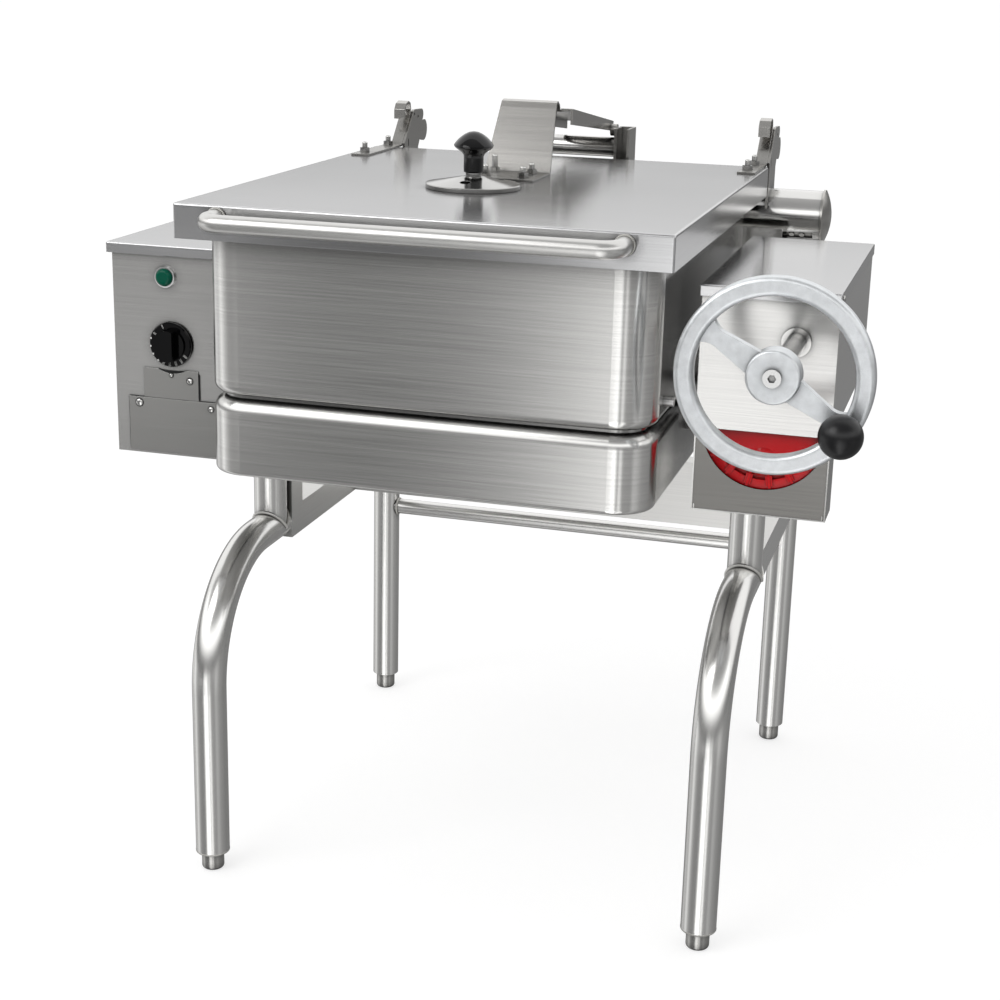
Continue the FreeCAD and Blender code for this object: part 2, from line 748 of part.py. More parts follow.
def make_worm_wheel():
    """Worm wheel: forty slanted teeth round a rim, with a hub on the trunnion."""
    lead = math.tan(math.atan(gear_module / (2 * worm_pitch_radius)))
    root = gear_radius - 1.25 * gear_module
    tip = gear_radius + 0.9 * gear_module
    left = wheel_x - gear_width / 2
    slant = lead * gear_width
    inside = root - 2
    profile = [V(left, -tooth_half_width(root) + slant / 2, inside), V(left, tooth_half_width(root) + slant / 2, inside),
               V(left, tooth_half_width(root) + slant / 2, root), V(left, tooth_half_width(tip) + slant / 2, tip),
               V(left, -tooth_half_width(tip) + slant / 2, tip), V(left, -tooth_half_width(root) + slant / 2, root)]
    tooth = outline(profile).extrude(V(gear_width, -slant, 0))
    teeth = []
    for i in range(gear_teeth):
        turned = tooth.copy()
        turned.rotate(V(0, 0, 0), V(1, 0, 0), (i + 0.5) * 360 / gear_teeth)
        teeth.append(turned)
    rim = rod(root, V(left, 0, 0), V(left + gear_width, 0, 0))
    hub = rod(gear_hub, V(wheel_x - gear_hub_length / 2, 0, 0), V(wheel_x + gear_hub_length / 2, 0, 0))
    bore = rod(trunnion_radius + running_fit, V(left - 20, 0, 0), V(left + gear_width + 20, 0, 0))
    wheel = rim.multiFuse(teeth + [hub]).cut(bore)
    wheel.translate(V(0, tilt_y, tilt_z))
    return wheel


def make_worm_shaft():
    """Hand wheel shaft with the right-handed worm cut on it, tapped at its front end."""
    pitch = math.pi * gear_module
    root = worm_pitch_radius - 1.2 * gear_module
    tip = worm_pitch_radius + 0.9 * gear_module
    length = worm_turns * pitch
    start = tilt_y - length / 2
    inside = root - 1.0
    half_pitch = pitch / 4 - tooth_backlash / 2
    slope = math.tan(math.radians(tooth_flank))
    half_root = half_pitch + (worm_pitch_radius - inside) * slope
    half_tip = half_pitch - (tip - worm_pitch_radius) * slope
    # The thread is made about Z and starts in mesh: its crest meets the wheel's gap below the worm.
    path = Part.makeHelix(pitch, length, worm_pitch_radius)
    section = Part.makePolygon([V(inside, 0, -half_root), V(tip, 0, -half_tip), V(tip, 0, half_tip),
                                V(inside, 0, half_root), V(inside, 0, -half_root)])
    thread = Part.Wire(path).makePipeShell([section], True, True)
    thread.rotate(V(0, 0, 0), V(0, 0, 1), -90 + 180 * (worm_turns % 2 - 1))
    thread.rotate(V(0, 0, 0), V(1, 0, 0), -90)
    thread.translate(V(wheel_x, start, worm_z))
    core = rod(root, V(wheel_x, start - pitch, worm_z), V(wheel_x, start + length + pitch, worm_z))
    half_barrel = worm_barrel_length / 2
    front = rod(worm_shaft_radius, V(wheel_x, hub_front + shaft_end_gap, worm_z),
                V(wheel_x, tilt_y - half_barrel + worm_bush_length + 2, worm_z))
    rear = rod(worm_shaft_radius, V(wheel_x, tilt_y + half_barrel - worm_bush_length - 2, worm_z),
               V(wheel_x, tilt_y + half_barrel, worm_z))
    neck = rod(root, V(wheel_x, tilt_y - half_barrel + worm_bush_length, worm_z),
               V(wheel_x, tilt_y + half_barrel - worm_bush_length, worm_z))
    tapped = rod(hub_screw_shank + running_fit, V(wheel_x, hub_front, worm_z), V(wheel_x, hub_front + 34, worm_z))
    return core.multiFuse([thread, neck, front, rear]).cut(tapped)


def make_gear_housing():
    """Cast housing: drum for the worm wheel, barrel for the worm, foot, and a domed front nose."""
    drum = rod(gear_case_radius, V(gear_case_inner_x, tilt_y, tilt_z), V(gear_cover_x, tilt_y, tilt_z))
    half_barrel = worm_barrel_length / 2
    barrel = rod(worm_barrel, V(wheel_x, tilt_y - half_barrel, worm_z), V(wheel_x, tilt_y + half_barrel, worm_z))
    foot_front = tilt_y - gear_case_radius
    foot_back = tilt_y + gear_case_radius
    foot = box(gear_case_inner_x - housing_foot_inner, hood_plate_outer, foot_front, foot_back, base_plate_top,
               base_plate_top + gear_foot_height)
    web = box(gear_case_inner_x, gear_cover_x, tilt_y - gear_case_radius * 0.7, tilt_y + gear_case_radius * 0.7,
              base_plate_top, tilt_z)
    nose_y = console_front + sheet + 6
    nose = rod(nose_radius, V(apron_hole_x, nose_y, apron_hole_z), V(apron_hole_x, nose_y + nose_thick, apron_hole_z))
    dome_z = apron_hole_z - nose_radius * 0.55
    dome = Part.makeSphere(nose_dome, V(apron_hole_x, nose_y + nose_dome - 4, dome_z))
    neck = box(gear_case_inner_x, gear_cover_x, nose_y, tilt_y - gear_case_radius * 0.6,
               apron_hole_z - nose_radius * 0.7, apron_hole_z + nose_radius * 0.7)
    body = drum.multiFuse([barrel, foot, web, nose, dome, neck])
    cavity_radius = gear_case_radius - gear_case_wall
    cavity = rod(cavity_radius, V(wheel_x - gear_cavity_half, tilt_y, tilt_z), V(gear_cover_x + 20, tilt_y, tilt_z))
    bore = rod(trunnion_radius + running_fit, V(gear_case_inner_x - 30, tilt_y, tilt_z),
               V(gear_cover_x, tilt_y, tilt_z))
    tunnel = rod(worm_barrel - gear_case_wall, V(wheel_x, tilt_y - half_barrel - 1, worm_z),
                 V(wheel_x, tilt_y + half_barrel + 1, worm_z))
    return body.cut([cavity, bore, tunnel])


def make_gear_cover():
    """Cover on the outer side of the gear housing, with the boss of the trunnion's outer bearing."""
    outer_x = gear_cover_x + gear_cover_thick
    disc = rod(gear_case_radius, V(gear_cover_x, tilt_y, tilt_z), V(outer_x, tilt_y, tilt_z))
    boss = rod(gear_cover_boss, V(outer_x, tilt_y, tilt_z), V(outer_x + gear_cover_boss_length, tilt_y, tilt_z))
    bore = rod(trunnion_radius + running_fit, V(gear_cover_x - 1, tilt_y, tilt_z), V(outer_x + 30, tilt_y, tilt_z))
    barrel = rod(worm_barrel + rest_gap, V(wheel_x, tilt_y - 200, worm_z), V(wheel_x, tilt_y + 200, worm_z))
    foot = box(gear_cover_x - 1, outer_x + 1, tilt_y - 200, tilt_y + 200, console_bottom,
               base_plate_top + gear_foot_height)
    return disc.fuse(boss).cut([bore, barrel, foot])


def make_housing_bolts():
    """Bolts round the gear cover and through the housing's foot."""
    bolts = []
    outer_x = gear_cover_x + gear_cover_thick
    circle = gear_case_radius - gear_case_wall * 1.2
    for angle in (-30, 0, 30, 150, 180, 210):
        y = tilt_y + circle * math.cos(math.radians(angle))
        z = tilt_z + circle * math.sin(math.radians(angle))
        bolts.append(hex_nut(outer_x, y, z, nut_height, V(1, 0, 0)))
    foot_top = base_plate_top + gear_foot_height
    for y in (tilt_y - gear_case_radius + 12, tilt_y + gear_case_radius - 12):
        bolts.append(hex_nut(gear_case_inner_x - housing_foot_inner / 2, y, foot_top, bolt_stand))
    return Part.makeCompound(bolts)


def make_shaft_bushes():
    """Steel bushes in both ends of the worm's barrel and the bush ring on the hood."""
    bore = worm_shaft_radius + running_fit
    bushes = []
    half_barrel = worm_barrel_length / 2
    for start in (tilt_y - half_barrel, tilt_y + half_barrel - worm_bush_length):
        bushes.append(tube(worm_barrel - gear_case_wall, worm_barrel - gear_case_wall - bore,
                           V(wheel_x, start, worm_z), V(wheel_x, start + worm_bush_length, worm_z)))
    ring = worm_shaft_radius + 6
    bushes.append(tube(ring, ring - bore, V(wheel_x, console_front - 5, worm_z), V(wheel_x, console_front, worm_z)))
    return Part.makeCompound(bushes)


# Hand wheel

def spoke_face(angle):
    """Outline of one spoke: tapered from the hub, flared where it meets the rim."""
    inner = hub_radius - 6
    rim_inner = hand_wheel_radius - hand_wheel_rim
    waist = rim_inner - 16
    end = rim_inner + 5
    lines = [Part.LineSegment(V(inner, 0, spoke_root), V(waist, 0, spoke_waist)),
             Part.Arc(V(waist, 0, spoke_waist), V(rim_inner - 3, 0, spoke_waist + 4), V(end, 0, spoke_flare)),
             Part.LineSegment(V(end, 0, spoke_flare), V(end, 0, -spoke_flare)),
             Part.Arc(V(end, 0, -spoke_flare), V(rim_inner - 3, 0, -spoke_waist - 4), V(waist, 0, -spoke_waist)),
             Part.LineSegment(V(waist, 0, -spoke_waist), V(inner, 0, -spoke_root)),
             Part.LineSegment(V(inner, 0, -spoke_root), V(inner, 0, spoke_root))]
    face = Part.Face(Part.Wire([line.toShape() for line in lines]))
    face.rotate(V(0, 0, 0), V(0, -1, 0), angle)
    return face


def make_hand_wheel():
    """Cast hand wheel: rounded rim, domed hub and two tapered spokes."""
    rim_inner = hand_wheel_radius - hand_wheel_rim
    section = box(rim_inner, hand_wheel_radius, 0, hand_wheel_rim_depth, -0.5, 0.5)
    face = [f for f in section.Faces if abs(f.CenterOfMass.z - 0.5) < 0.01][0]
    face.translate(V(0, 0, -0.5))
    rim = face.revolve(V(0, 0, 0), V(0, 1, 0), 360)
    rim = rim.makeFillet(6.0, rim.Edges)
    rim.translate(V(0, rim_front, 0))
    hub = rod(hub_radius, V(0, hub_front, 0), V(0, hub_front + hub_length, 0))
    hub = hub.makeFillet(3.0, [e for e in hub.Edges if e.BoundBox.YLength < 0.01])
    spoke_y = rim_front + (hand_wheel_rim_depth - spoke_thick) / 2
    spokes = []
    for angle in (spoke_angle, ball_angle):
        spoke = spoke_face(angle).extrude(V(0, spoke_thick, 0))
        spoke.translate(V(0, spoke_y, 0))
        spokes.append(spoke)
    wheel = hub.multiFuse([rim] + spokes)
    bore = rod(worm_shaft_radius + running_fit, V(0, hub_front + shaft_end_gap - rest_gap, 0), V(0, 40, 0))
    screw_hole = rod(hub_screw_shank + running_fit, V(0, hub_front - 1, 0), V(0, hub_front + shaft_end_gap, 0))
    wheel = wheel.cut([bore, screw_hole])
    wheel.translate(V(wheel_x, 0, worm_z))
    return wheel


def make_hub_screw():
    """Socket screw that holds the wheel on its shaft."""
    face = hub_front
    head = rod(hub_screw_head, V(wheel_x, face - hub_screw_height, worm_z), V(wheel_x, face, worm_z))
    shank = rod(hub_screw_shank, V(wheel_x, face, worm_z), V(wheel_x, face + 30, worm_z))
    corners = [V(wheel_x + 5 * math.cos(math.radians(a)), face - hub_screw_height - 1,
                 worm_z + 5 * math.sin(math.radians(a))) for a in range(0, 360, 60)]
    socket = outline(corners).extrude(V(0, hub_screw_height, 0))
    return head.fuse(shank).cut(socket)


def make_ball_knob():
    """Ball knob on a short collar, standing on the rim."""
    x = wheel_x + ball_circle * math.cos(math.radians(ball_angle))
    z = worm_z + ball_circle * math.sin(math.radians(ball_angle))
    centre_y = rim_front - ball_neck - ball_radius * 0.92
    ball = Part.makeSphere(ball_radius, V(x, centre_y, z))
    collar = rod(ball_radius * 0.4, V(x, rim_front, z), V(x, centre_y, z))
    return ball.fuse(collar)


# Consoles

def make_left_body():
    """Electrical console's wrapper: four walls with the trunnion, lamp and dial holes."""
    high = console_top - sheet
    outer = box(-console_outer, -console_inner, console_front, console_back, console_bottom, high)
    inner = box(-console_outer + sheet, -console_inner - sheet, console_front + sheet, console_back - sheet,
                console_bottom - 1, high + 1)
    trunnion = rod(trunnion_radius + free_hole, V(-console_inner - 10, tilt_y, tilt_z),
                   V(-console_inner + 10, tilt_y, tilt_z))
    lamp = rod(lamp_lens - 2, V(lamp_x, console_front - 5, lamp_z), V(lamp_x, console_front + 5, lamp_z))
    dial = rod(dial_stem + 1, V(dial_x, console_front - 5, dial_z), V(dial_x, console_front + 5, dial_z))
    gland = rod(gland_bore, V(-console_outer + gland_inset, console_back - 10, console_bottom + gland_rise),
                V(-console_outer + gland_inset, console_back + 10, console_bottom + gland_rise))
    return outer.cut(inner).cut([trunnion, lamp, dial, gland])


def make_console_lid(side, outer_over):
    """Lid of a console with a turned-down edge."""
    left = -console_outer - outer_over
    right = -console_inner + console_lid_inner_over
    if side > 0:
        left, right = -right, -left
    front = console_front - console_lid_over
    back = console_back + console_lid_over
    low = console_top - console_lid_skirt
    outer = box(left, right, front, back, low, console_top)
    outer = outer.makeFillet(2.0, [e for e in outer.Edges if e.BoundBox.ZMax > console_top - 1])
    return outer.cut(box(left + sheet, right - sheet, front + sheet, back - sheet, low - 1, console_top - sheet))


def make_hood():
    """Right console's hood: front and outer walls stop over the apron, the others reach the base plate."""
    high = console_top - sheet
    outer = box(console_inner, console_outer, console_front, console_back, base_plate_top, high)
    inner = box(console_inner + sheet, console_outer - sheet, console_front + sheet, console_back - sheet,
                base_plate_top - 1, high + 1)
    shell = outer.cut(inner)
    below_front = box(console_inner - 1, console_outer + 1, console_front - 1, console_front + apron_return + 1,
                      base_plate_top - 1, hood_front_bottom)
    below_side = box(hood_plate_outer, console_outer + 1, console_front - 1, console_back + 1,
                     base_plate_top - 1, hood_front_bottom)
    trunnion = rod(trunnion_radius + free_hole, V(console_inner - 10, tilt_y, tilt_z),
                   V(console_inner + 10, tilt_y, tilt_z))
    shaft = rod(worm_shaft_radius + free_hole, V(wheel_x, console_front - 5, worm_z),
                V(wheel_x, console_front + 5, worm_z))
    return shell.cut([below_front, below_side, trunnion, shaft])


def make_apron():
    """Lower front of the right console: a shallow tray round the housing's nose."""
    low = console_bottom
    high = hood_front_bottom - apron_gap
    tray = box(console_inner, console_outer, console_front, console_front + apron_return, low, high)
    inner = box(console_inner + sheet, console_outer - sheet, console_front + sheet,
                console_front + apron_return + 1, low + sheet, high + 1)
    floor_room = box(console_inner + sheet, console_outer - sheet, base_plate_front - 1,
                     console_front + apron_return + 1, low - 1, high)
    hole = rod(apron_hole_radius, V(apron_hole_x, console_front - 5, apron_hole_z),
               V(apron_hole_x, console_front + sheet + 1, apron_hole_z))
    return tray.cut(inner).cut([floor_room, hole])


def make_service_plate():
    """Cover plate low on the electrical console's front."""
    return box(service_left, service_right, console_front - sheet, console_front, service_bottom, service_top)


def make_dial_guard():
    """Small plate under the dial, notched round it."""
    plate = box(guard_left, guard_right, console_front - sheet, console_front, service_top + 0.5, guard_top)
    notch = rod(guard_notch, V(dial_x, console_front - 5, dial_z), V(dial_x, console_front + 5, dial_z))
    return plate.cut(notch)


def make_screws():
    """Screw heads on the electrical console's plates, and one on the side of the other console's lid."""
    face = console_front - sheet
    places = [(service_left + 15, service_top - 8), (service_left + 120, service_top - 9),
              (guard_right - 12, guard_top - 14)]
    heads = [pan_head(x, z, face) for x, z in places]
    side_head = pan_head(0, 0, 0)
    side_head.rotate(V(0, 0, 0), V(0, 0, 1), 90)
    side_head.translate(V(console_outer + hood_lid_over, console_front + lid_screw_inset, console_top - lid_screw_inset))
    return Part.makeCompound(heads + [side_head])


def make_lamp_bezel():
    """Bezel ring of the pilot lamp with its body behind the panel."""
    ring = tube(lamp_bezel, lamp_bezel - lamp_lens - running_fit, V(lamp_x, console_front - 4, lamp_z),
                V(lamp_x, console_front, lamp_z))
    body = tube(lamp_lens - 2, 2, V(lamp_x, console_front - 0.5, lamp_z), V(lamp_x, console_front + 30, lamp_z))
    seat = tube(lamp_lens + 1, 5, V(lamp_x, console_front - 0.8, lamp_z), V(lamp_x, console_front, lamp_z))
    return ring.multiFuse([body, seat])


def make_lamp_lens():
    """Domed lens of the pilot lamp."""
    back = console_front - 0.8
    lens = rod(lamp_lens, V(lamp_x, back, lamp_z), V(lamp_x, back - 9, lamp_z))
    return lens.makeFillet(6.0, [e for e in lens.Edges if e.BoundBox.YMax < back - 8])


def make_dial():
    """Temperature dial: skirt disc, round grip with a bar across it, and its stem."""
    back = console_front - sheet - rest_gap
    skirt = rod(dial_radius, V(dial_x, back, dial_z), V(dial_x, back - dial_skirt, dial_z))
    skirt = skirt.makeChamfer(1.5, [e for e in skirt.Edges if e.BoundBox.YMax < back - dial_skirt + 0.1])
    grip_back = back - dial_skirt
    grip_front = grip_back - dial_grip_depth
    grip = rod(dial_grip, V(dial_x, grip_back, dial_z), V(dial_x, grip_front, dial_z))
    waist = dial_grip * 0.42
    for side in (-1, 1):
        edge = dial_x + side * waist
        away = dial_x + side * dial_grip * 1.2
        grip = grip.cut(box(min(edge, away), max(edge, away), grip_front - 1, grip_back - 3,
                            dial_z - dial_radius, dial_z + dial_radius))
    stem = rod(dial_stem, V(dial_x, back, dial_z), V(dial_x, console_front + sheet + 12, dial_z))
    return skirt.multiFuse([grip, stem])


def make_thermostat():
    """Thermostat body on the inside of the panel, bored for the dial's stem."""
    half = thermostat_size / 2
    front = console_front + sheet
    body = box(dial_x - half, dial_x + half, front, front + thermostat_depth, dial_z - half, dial_z + half)
    return body.cut(rod(dial_stem + running_fit, V(dial_x, front - 1, dial_z), V(dial_x, front + 14, dial_z)))


def make_contactor():
    """Contactor and terminal block on the console's base plate."""
    back = console_back - contactor_behind
    left = -console_outer + contactor_inset
    right = left + contactor_width
    top = base_plate_top + contactor_height
    contactor = box(left, right, back - contactor_depth, back, base_plate_top, top)
    cap = box(left + contactor_cap, right - contactor_cap, back - contactor_depth + contactor_cap,
              back - contactor_cap, top, top + contactor_cap)
    strip_right = -console_inner - terminal_inset
    terminals = box(strip_right - terminal_width, strip_right, back - terminal_depth, back,
                    base_plate_top, base_plate_top + terminal_height)
    return Part.makeCompound([contactor.fuse(cap), terminals])


def make_cable_gland():
    """Supply inlet gland on the console's back wall."""
    x = -console_outer + gland_inset
    z = console_bottom + gland_rise
    back = console_back
    body = rod(gland_radius, V(x, back, z), V(x, back + gland_flange, z))
    collar = rod(gland_radius * 0.85, V(x, back + gland_flange, z), V(x, back + gland_length, z))
    neck = rod(gland_bore, V(x, back - 8, z), V(x, back, z))
    bore = rod(gland_bore - 2, V(x, back - 9, z), V(x, back + gland_length + 1, z))
    return body.multiFuse([collar, neck]).cut(bore)


def make_left_bearing():
    """Bearing block of the left trunnion on the console's base plate."""
    half = left_bearing_half
    right = -console_inner - left_bearing_gap
    left = right - left_bearing_width
    foot = box(left, right, tilt_y - half * 1.5, tilt_y + half * 1.5, base_plate_top,
               base_plate_top + left_bearing_foot)
    column = box(left, right, tilt_y - half, tilt_y + half, base_plate_top, tilt_z)
    head = rod(half, V(left, tilt_y, tilt_z), V(right, tilt_y, tilt_z))
    bore = rod(trunnion_radius + running_fit, V(left - 1, tilt_y, tilt_z), V(right + 1, tilt_y, tilt_z))
    return foot.multiFuse([column, head]).cut(bore)


# Stand

def make_front_leg(side):
    """Front leg: upright pipe, quarter bend and a level run back to the pedestal."""
    x = side * front_leg_x
    bend_low = leg_run_z - leg_bend
    bend_end = front_leg_y + leg_bend
    run_end = stub_y + leg_radius
    diagonal = leg_bend * math.sin(math.radians(45))
    middle = V(x, bend_end - diagonal, bend_low + diagonal)

    def path(low, back):
        return Part.Wire([Part.makeLine(V(x, front_leg_y, low), V(x, front_leg_y, bend_low)),
                          Part.Arc(V(x, front_leg_y, bend_low), middle, V(x, bend_end, leg_run_z)).toShape(),
                          Part.makeLine(V(x, bend_end, leg_run_z), V(x, back, leg_run_z))])
    return bent_bar(path(floor_gap, run_end), leg_radius).cut(bent_bar(path(floor_gap - 1, run_end + 1),
                                                                      leg_radius - leg_wall))


def make_front_stub(side):
    """Upright stub pipe between the leg's level run and the console's base plate."""
    x = side * front_leg_x
    stub = tube(leg_radius, leg_wall, V(x, stub_y, leg_run_z), V(x, stub_y, console_bottom))
    run = rod(leg_radius, V(x, stub_y - 60, leg_run_z), V(x, stub_y + leg_radius, leg_run_z))
    return stub.cut(run)


def make_rear_leg(side):
    """Rear leg pipe, closed at its top."""
    x = side * rear_leg_x
    leg = tube(rear_leg_radius, leg_wall, V(x, rear_leg_y, floor_gap), V(x, rear_leg_y, rear_leg_top))
    cap = rod(rear_leg_radius, V(x, rear_leg_y, rear_leg_top), V(x, rear_leg_y, rear_leg_top + 4))
    return leg.fuse(cap)


def leg_places():
    """Plan positions of the legs with the radius of each pipe."""
    return [(side * x, y, radius) for side in (-1, 1)
            for x, y, radius in ((front_leg_x, front_leg_y, leg_radius), (rear_leg_x, rear_leg_y, rear_leg_radius))]


def make_foot(x, y):
    """Levelling foot: bullet with a threaded stem into the leg's socket."""
    high = floor_gap - rest_gap
    body = rod(foot_radius, V(x, y, 0), V(x, y, high))
    body = body.makeFillet(foot_round, edges_at(body, 0))
    return body.fuse(rod(foot_stem, V(x, y, high - 1), V(x, y, high + foot_stem_length)))


def make_sockets():
    """Threaded plugs in the ends of the legs."""
    plugs = []
    for x, y, radius in leg_places():
        plugs.append(tube(radius - leg_wall, radius - leg_wall - foot_stem - running_fit,
                          V(x, y, floor_gap), V(x, y, floor_gap + socket_length)))
    return Part.makeCompound(plugs)


def make_pedestal(side):
    """Post behind the stub with the base plate that carries a console and its bearing."""
    x = side * rail_x
    half = rail_width / 2
    front = stub_y + leg_radius
    back = front + post_depth
    low = leg_run_z - leg_radius
    post = box(x - half, x + half, front, back, low, console_bottom)
    post = post.cut(box(x - half + rail_wall, x + half - rail_wall, front + rail_wall, back - rail_wall,
                        low + rail_wall, console_bottom + 1))
    left = console_inner + sheet
    right = hood_plate_outer
    if side < 0:
        left, right = -console_outer + sheet, -left
    plate = box(left, right, base_plate_front, console_back - sheet, console_bottom, base_plate_top)
    corners = [V(x - rail_wall, front, console_bottom), V(x - rail_wall, console_front + 60, console_bottom),
               V(x - rail_wall, front, console_bottom - 60)]
    stub_room = rod(leg_radius + rest_gap, V(side * front_leg_x, stub_y, low), V(side * front_leg_x, stub_y,
                    console_bottom))
    gusset = outline(corners).extrude(V(2 * rail_wall, 0, 0)).cut(stub_room)
    return post.multiFuse([plate, gusset])


def make_side_rails():
    """Rectangular tubes from the pedestals back to the rear legs."""
    rails = []
    half = rail_width / 2
    front = stub_y + leg_radius + post_depth
    low = leg_run_z - leg_radius
    for side in (-1, 1):
        x = side * rail_x
        rail = box(x - half, x + half, front, rear_leg_y, low, low + rail_height)
        rail = rail.cut(box(x - half + rail_wall, x + half - rail_wall, front - 1, rear_leg_y + 1,
                            low + rail_wall, low + rail_height - rail_wall))
        leg = rod(rear_leg_radius, V(side * rear_leg_x, rear_leg_y, 0), V(side * rear_leg_x, rear_leg_y, rear_leg_top))
        beside = box(x - half - 1, x + half + 1, rear_leg_y - rear_leg_radius * 0.5, rear_leg_y + 1, low - 1,
                     low + rail_height + 1)
        rails.append(rail.cut(leg).cut(beside))
    return Part.makeCompound(rails)


def make_cross_pipe():
    """Pipe between the rear legs."""
    ends = [V(side * rear_leg_x, rear_leg_y, cross_pipe_z) for side in (-1, 1)]
    pipe = tube(cross_pipe_radius, leg_wall, ends[0], ends[1])
    legs = [rod(rear_leg_radius, V(e.x, e.y, 0), V(e.x, e.y, rear_leg_top)) for e in ends]
    return pipe.cut(legs)


def make_cross_channel():
    """Folded channel between the side rails, behind the pan's middle."""
    half = rail_x - rail_width / 2
    high = channel_bottom + channel_height
    outer = box(-half, half, channel_y, channel_y + channel_flange, channel_bottom, high)
    return outer.cut(box(-half - 1, half + 1, channel_y + channel_sheet, channel_y + channel_flange + 1,
                         channel_bottom + channel_sheet, high - channel_sheet))


def make_pieces():
    """All pieces of the skillet by name."""
    pieces = {
        "pan_vessel": make_vessel(),
        "pan_jacket": make_jacket(),
        "base_jacket": make_base_jacket(),
        "insulation": make_insulation(),
        "heating_elements": make_elements(),
        "trunnion_left": make_trunnion(-1, trunnion_left_end),
        "trunnion_right": make_trunnion(1, gear_cover_x + gear_cover_thick + gear_cover_boss_length),
        "stop_pin": make_stop_pin(),
        "hinge_shelf": make_hinge_shelf(),
        "tube_bearings": make_tube_bearings(),
        "worm_wheel": make_worm_wheel(),
        "lid_shell": make_lid(),
        "lid_handle": make_handle(),
        "hinge_brackets": Part.makeCompound([
            make_hinge_bracket(bracket_plate_left_x, bracket_foot_left_front),
            make_hinge_bracket(bracket_plate_right_x, bracket_foot_right_front)]),
        "middle_bracket": make_middle_bracket(),
        "lid_bolts": make_lid_bolts(),
        "lift_arm": make_arm(),
        "clevis": make_clevis(),
        "lift_spring": make_lift_spring(),
        "torque_tube": make_torque_tube(),
        "tube_caps": make_tube_caps(),
        "vent_disc": make_vent_disc(),
        "vent_knob": make_vent_knob(),
        "worm_shaft": make_worm_shaft(),
        "gear_housing": make_gear_housing(),
        "gear_cover": make_gear_cover(),
        "housing_bolts": make_housing_bolts(),
        "shaft_bushes": make_shaft_bushes(),
        "hand_wheel": make_hand_wheel(),
        "hub_screw": make_hub_screw(),
        "ball_knob": make_ball_knob(),
        "left_console_body": make_left_body(),
        "left_console_lid": make_console_lid(-1, console_lid_over),
        "right_console_hood": make_hood(),
        "right_console_lid": make_console_lid(1, hood_lid_over),
        "right_console_apron": make_apron(),
        "service_plate": make_service_plate(),
        "dial_guard": make_dial_guard(),
        "panel_screws": make_screws(),
        "lamp_bezel": make_lamp_bezel(),
        "lamp_lens": make_lamp_lens(),
        "temperature_dial": make_dial(),
        "thermostat": make_thermostat(),
        "contactor": make_contactor(),
        "cable_gland": make_cable_gland(),
        "left_bearing": make_left_bearing(),
        "leg_sockets": make_sockets(),
        "front_stubs": Part.makeCompound([make_front_stub(-1), make_front_stub(1)]),
        "rear_legs": Part.makeCompound([make_rear_leg(-1), make_rear_leg(1)]),
        "side_rails": make_side_rails(),
        "rear_cross_pipe": make_cross_pipe(),
        "cross_channel": make_cross_channel(),
    }
    for side, word in ((-1, "left"), (1, "right")):
        pieces["front_leg_" + word] = make_front_leg(side)
        pieces["pedestal_" + word] = make_pedestal(side)
        pieces["front_foot_" + word] = make_foot(side * front_leg_x, front_leg_y)
        pieces["rear_foot_" + word] = make_foot(side * rear_leg_x, rear_leg_y)
    return pieces


def footprint_middle(pieces):
    """Middle of the bounding box in plan, which becomes the origin."""
    whole = FreeCAD.BoundBox()
    for shape in pieces.values():
        whole.add(shape.optimalBoundingBox(False))
    return V(whole.Center.x, whole.Center.y, 0)


def main():
    os.makedirs("parts", exist_ok=True)
    pieces = make_pieces()
    origin = footprint_middle(pieces)
    for name, shape in pieces.items():
        shape.translate(origin * -1)
        shape.exportStep(os.path.join("parts", name + ".step"))
        print(name, len(shape.Solids), "solids", "valid" if shape.isValid() else "NOT VALID", round(shape.Volume))
    print("origin", origin)


main()
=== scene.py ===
import math

import bmesh
import bpy
from mathutils import Matrix, Vector


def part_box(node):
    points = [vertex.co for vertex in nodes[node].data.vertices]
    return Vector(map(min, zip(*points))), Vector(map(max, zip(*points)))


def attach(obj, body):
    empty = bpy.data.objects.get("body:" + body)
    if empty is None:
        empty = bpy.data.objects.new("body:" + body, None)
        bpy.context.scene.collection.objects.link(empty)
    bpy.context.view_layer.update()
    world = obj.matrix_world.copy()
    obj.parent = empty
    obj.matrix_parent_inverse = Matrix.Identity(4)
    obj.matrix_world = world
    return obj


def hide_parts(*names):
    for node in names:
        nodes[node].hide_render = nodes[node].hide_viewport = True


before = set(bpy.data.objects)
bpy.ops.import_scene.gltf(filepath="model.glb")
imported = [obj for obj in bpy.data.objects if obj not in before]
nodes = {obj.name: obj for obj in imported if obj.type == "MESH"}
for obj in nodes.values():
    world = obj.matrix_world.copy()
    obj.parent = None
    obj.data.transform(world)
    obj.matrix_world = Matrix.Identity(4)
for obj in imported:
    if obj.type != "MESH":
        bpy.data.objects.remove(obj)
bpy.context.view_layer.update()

# Camera
# It stands in front of the skillet and a little to its right, above the lid's height, and looks
# down at the pan. The lens is a short telephoto one.
camera_data = bpy.data.cameras.new("front_right_camera")
camera_data.lens = 66.67
camera_data.sensor_width = 36.0
camera_data.clip_end = 300.0
camera = bpy.data.objects.new("front_right_camera", camera_data)
scene = bpy.context.scene
scene.collection.objects.link(camera)
camera.matrix_world = (
    Matrix.Translation((0.65525, -2.454125, 1.288))
    @ Matrix.Rotation(math.radians(15.67), 4, "Z")
    @ Matrix.Rotation(math.radians(90.0 - 16.74), 4, "X")
    @ Matrix.Rotation(math.radians(1.40), 4, "Z")
)
scene.camera = camera
scene.view_settings.view_transform = "Standard"

# Studio
# A white room whose soft boxes and greyer gaps the bare steel mirrors as light and dark bands.
# Seen straight on it is plain white, and it lights the skillet evenly from all sides.
world = bpy.data.worlds.new("studio")
scene.world = world
world.use_nodes = True
sky = world.node_tree
sky.nodes.clear()


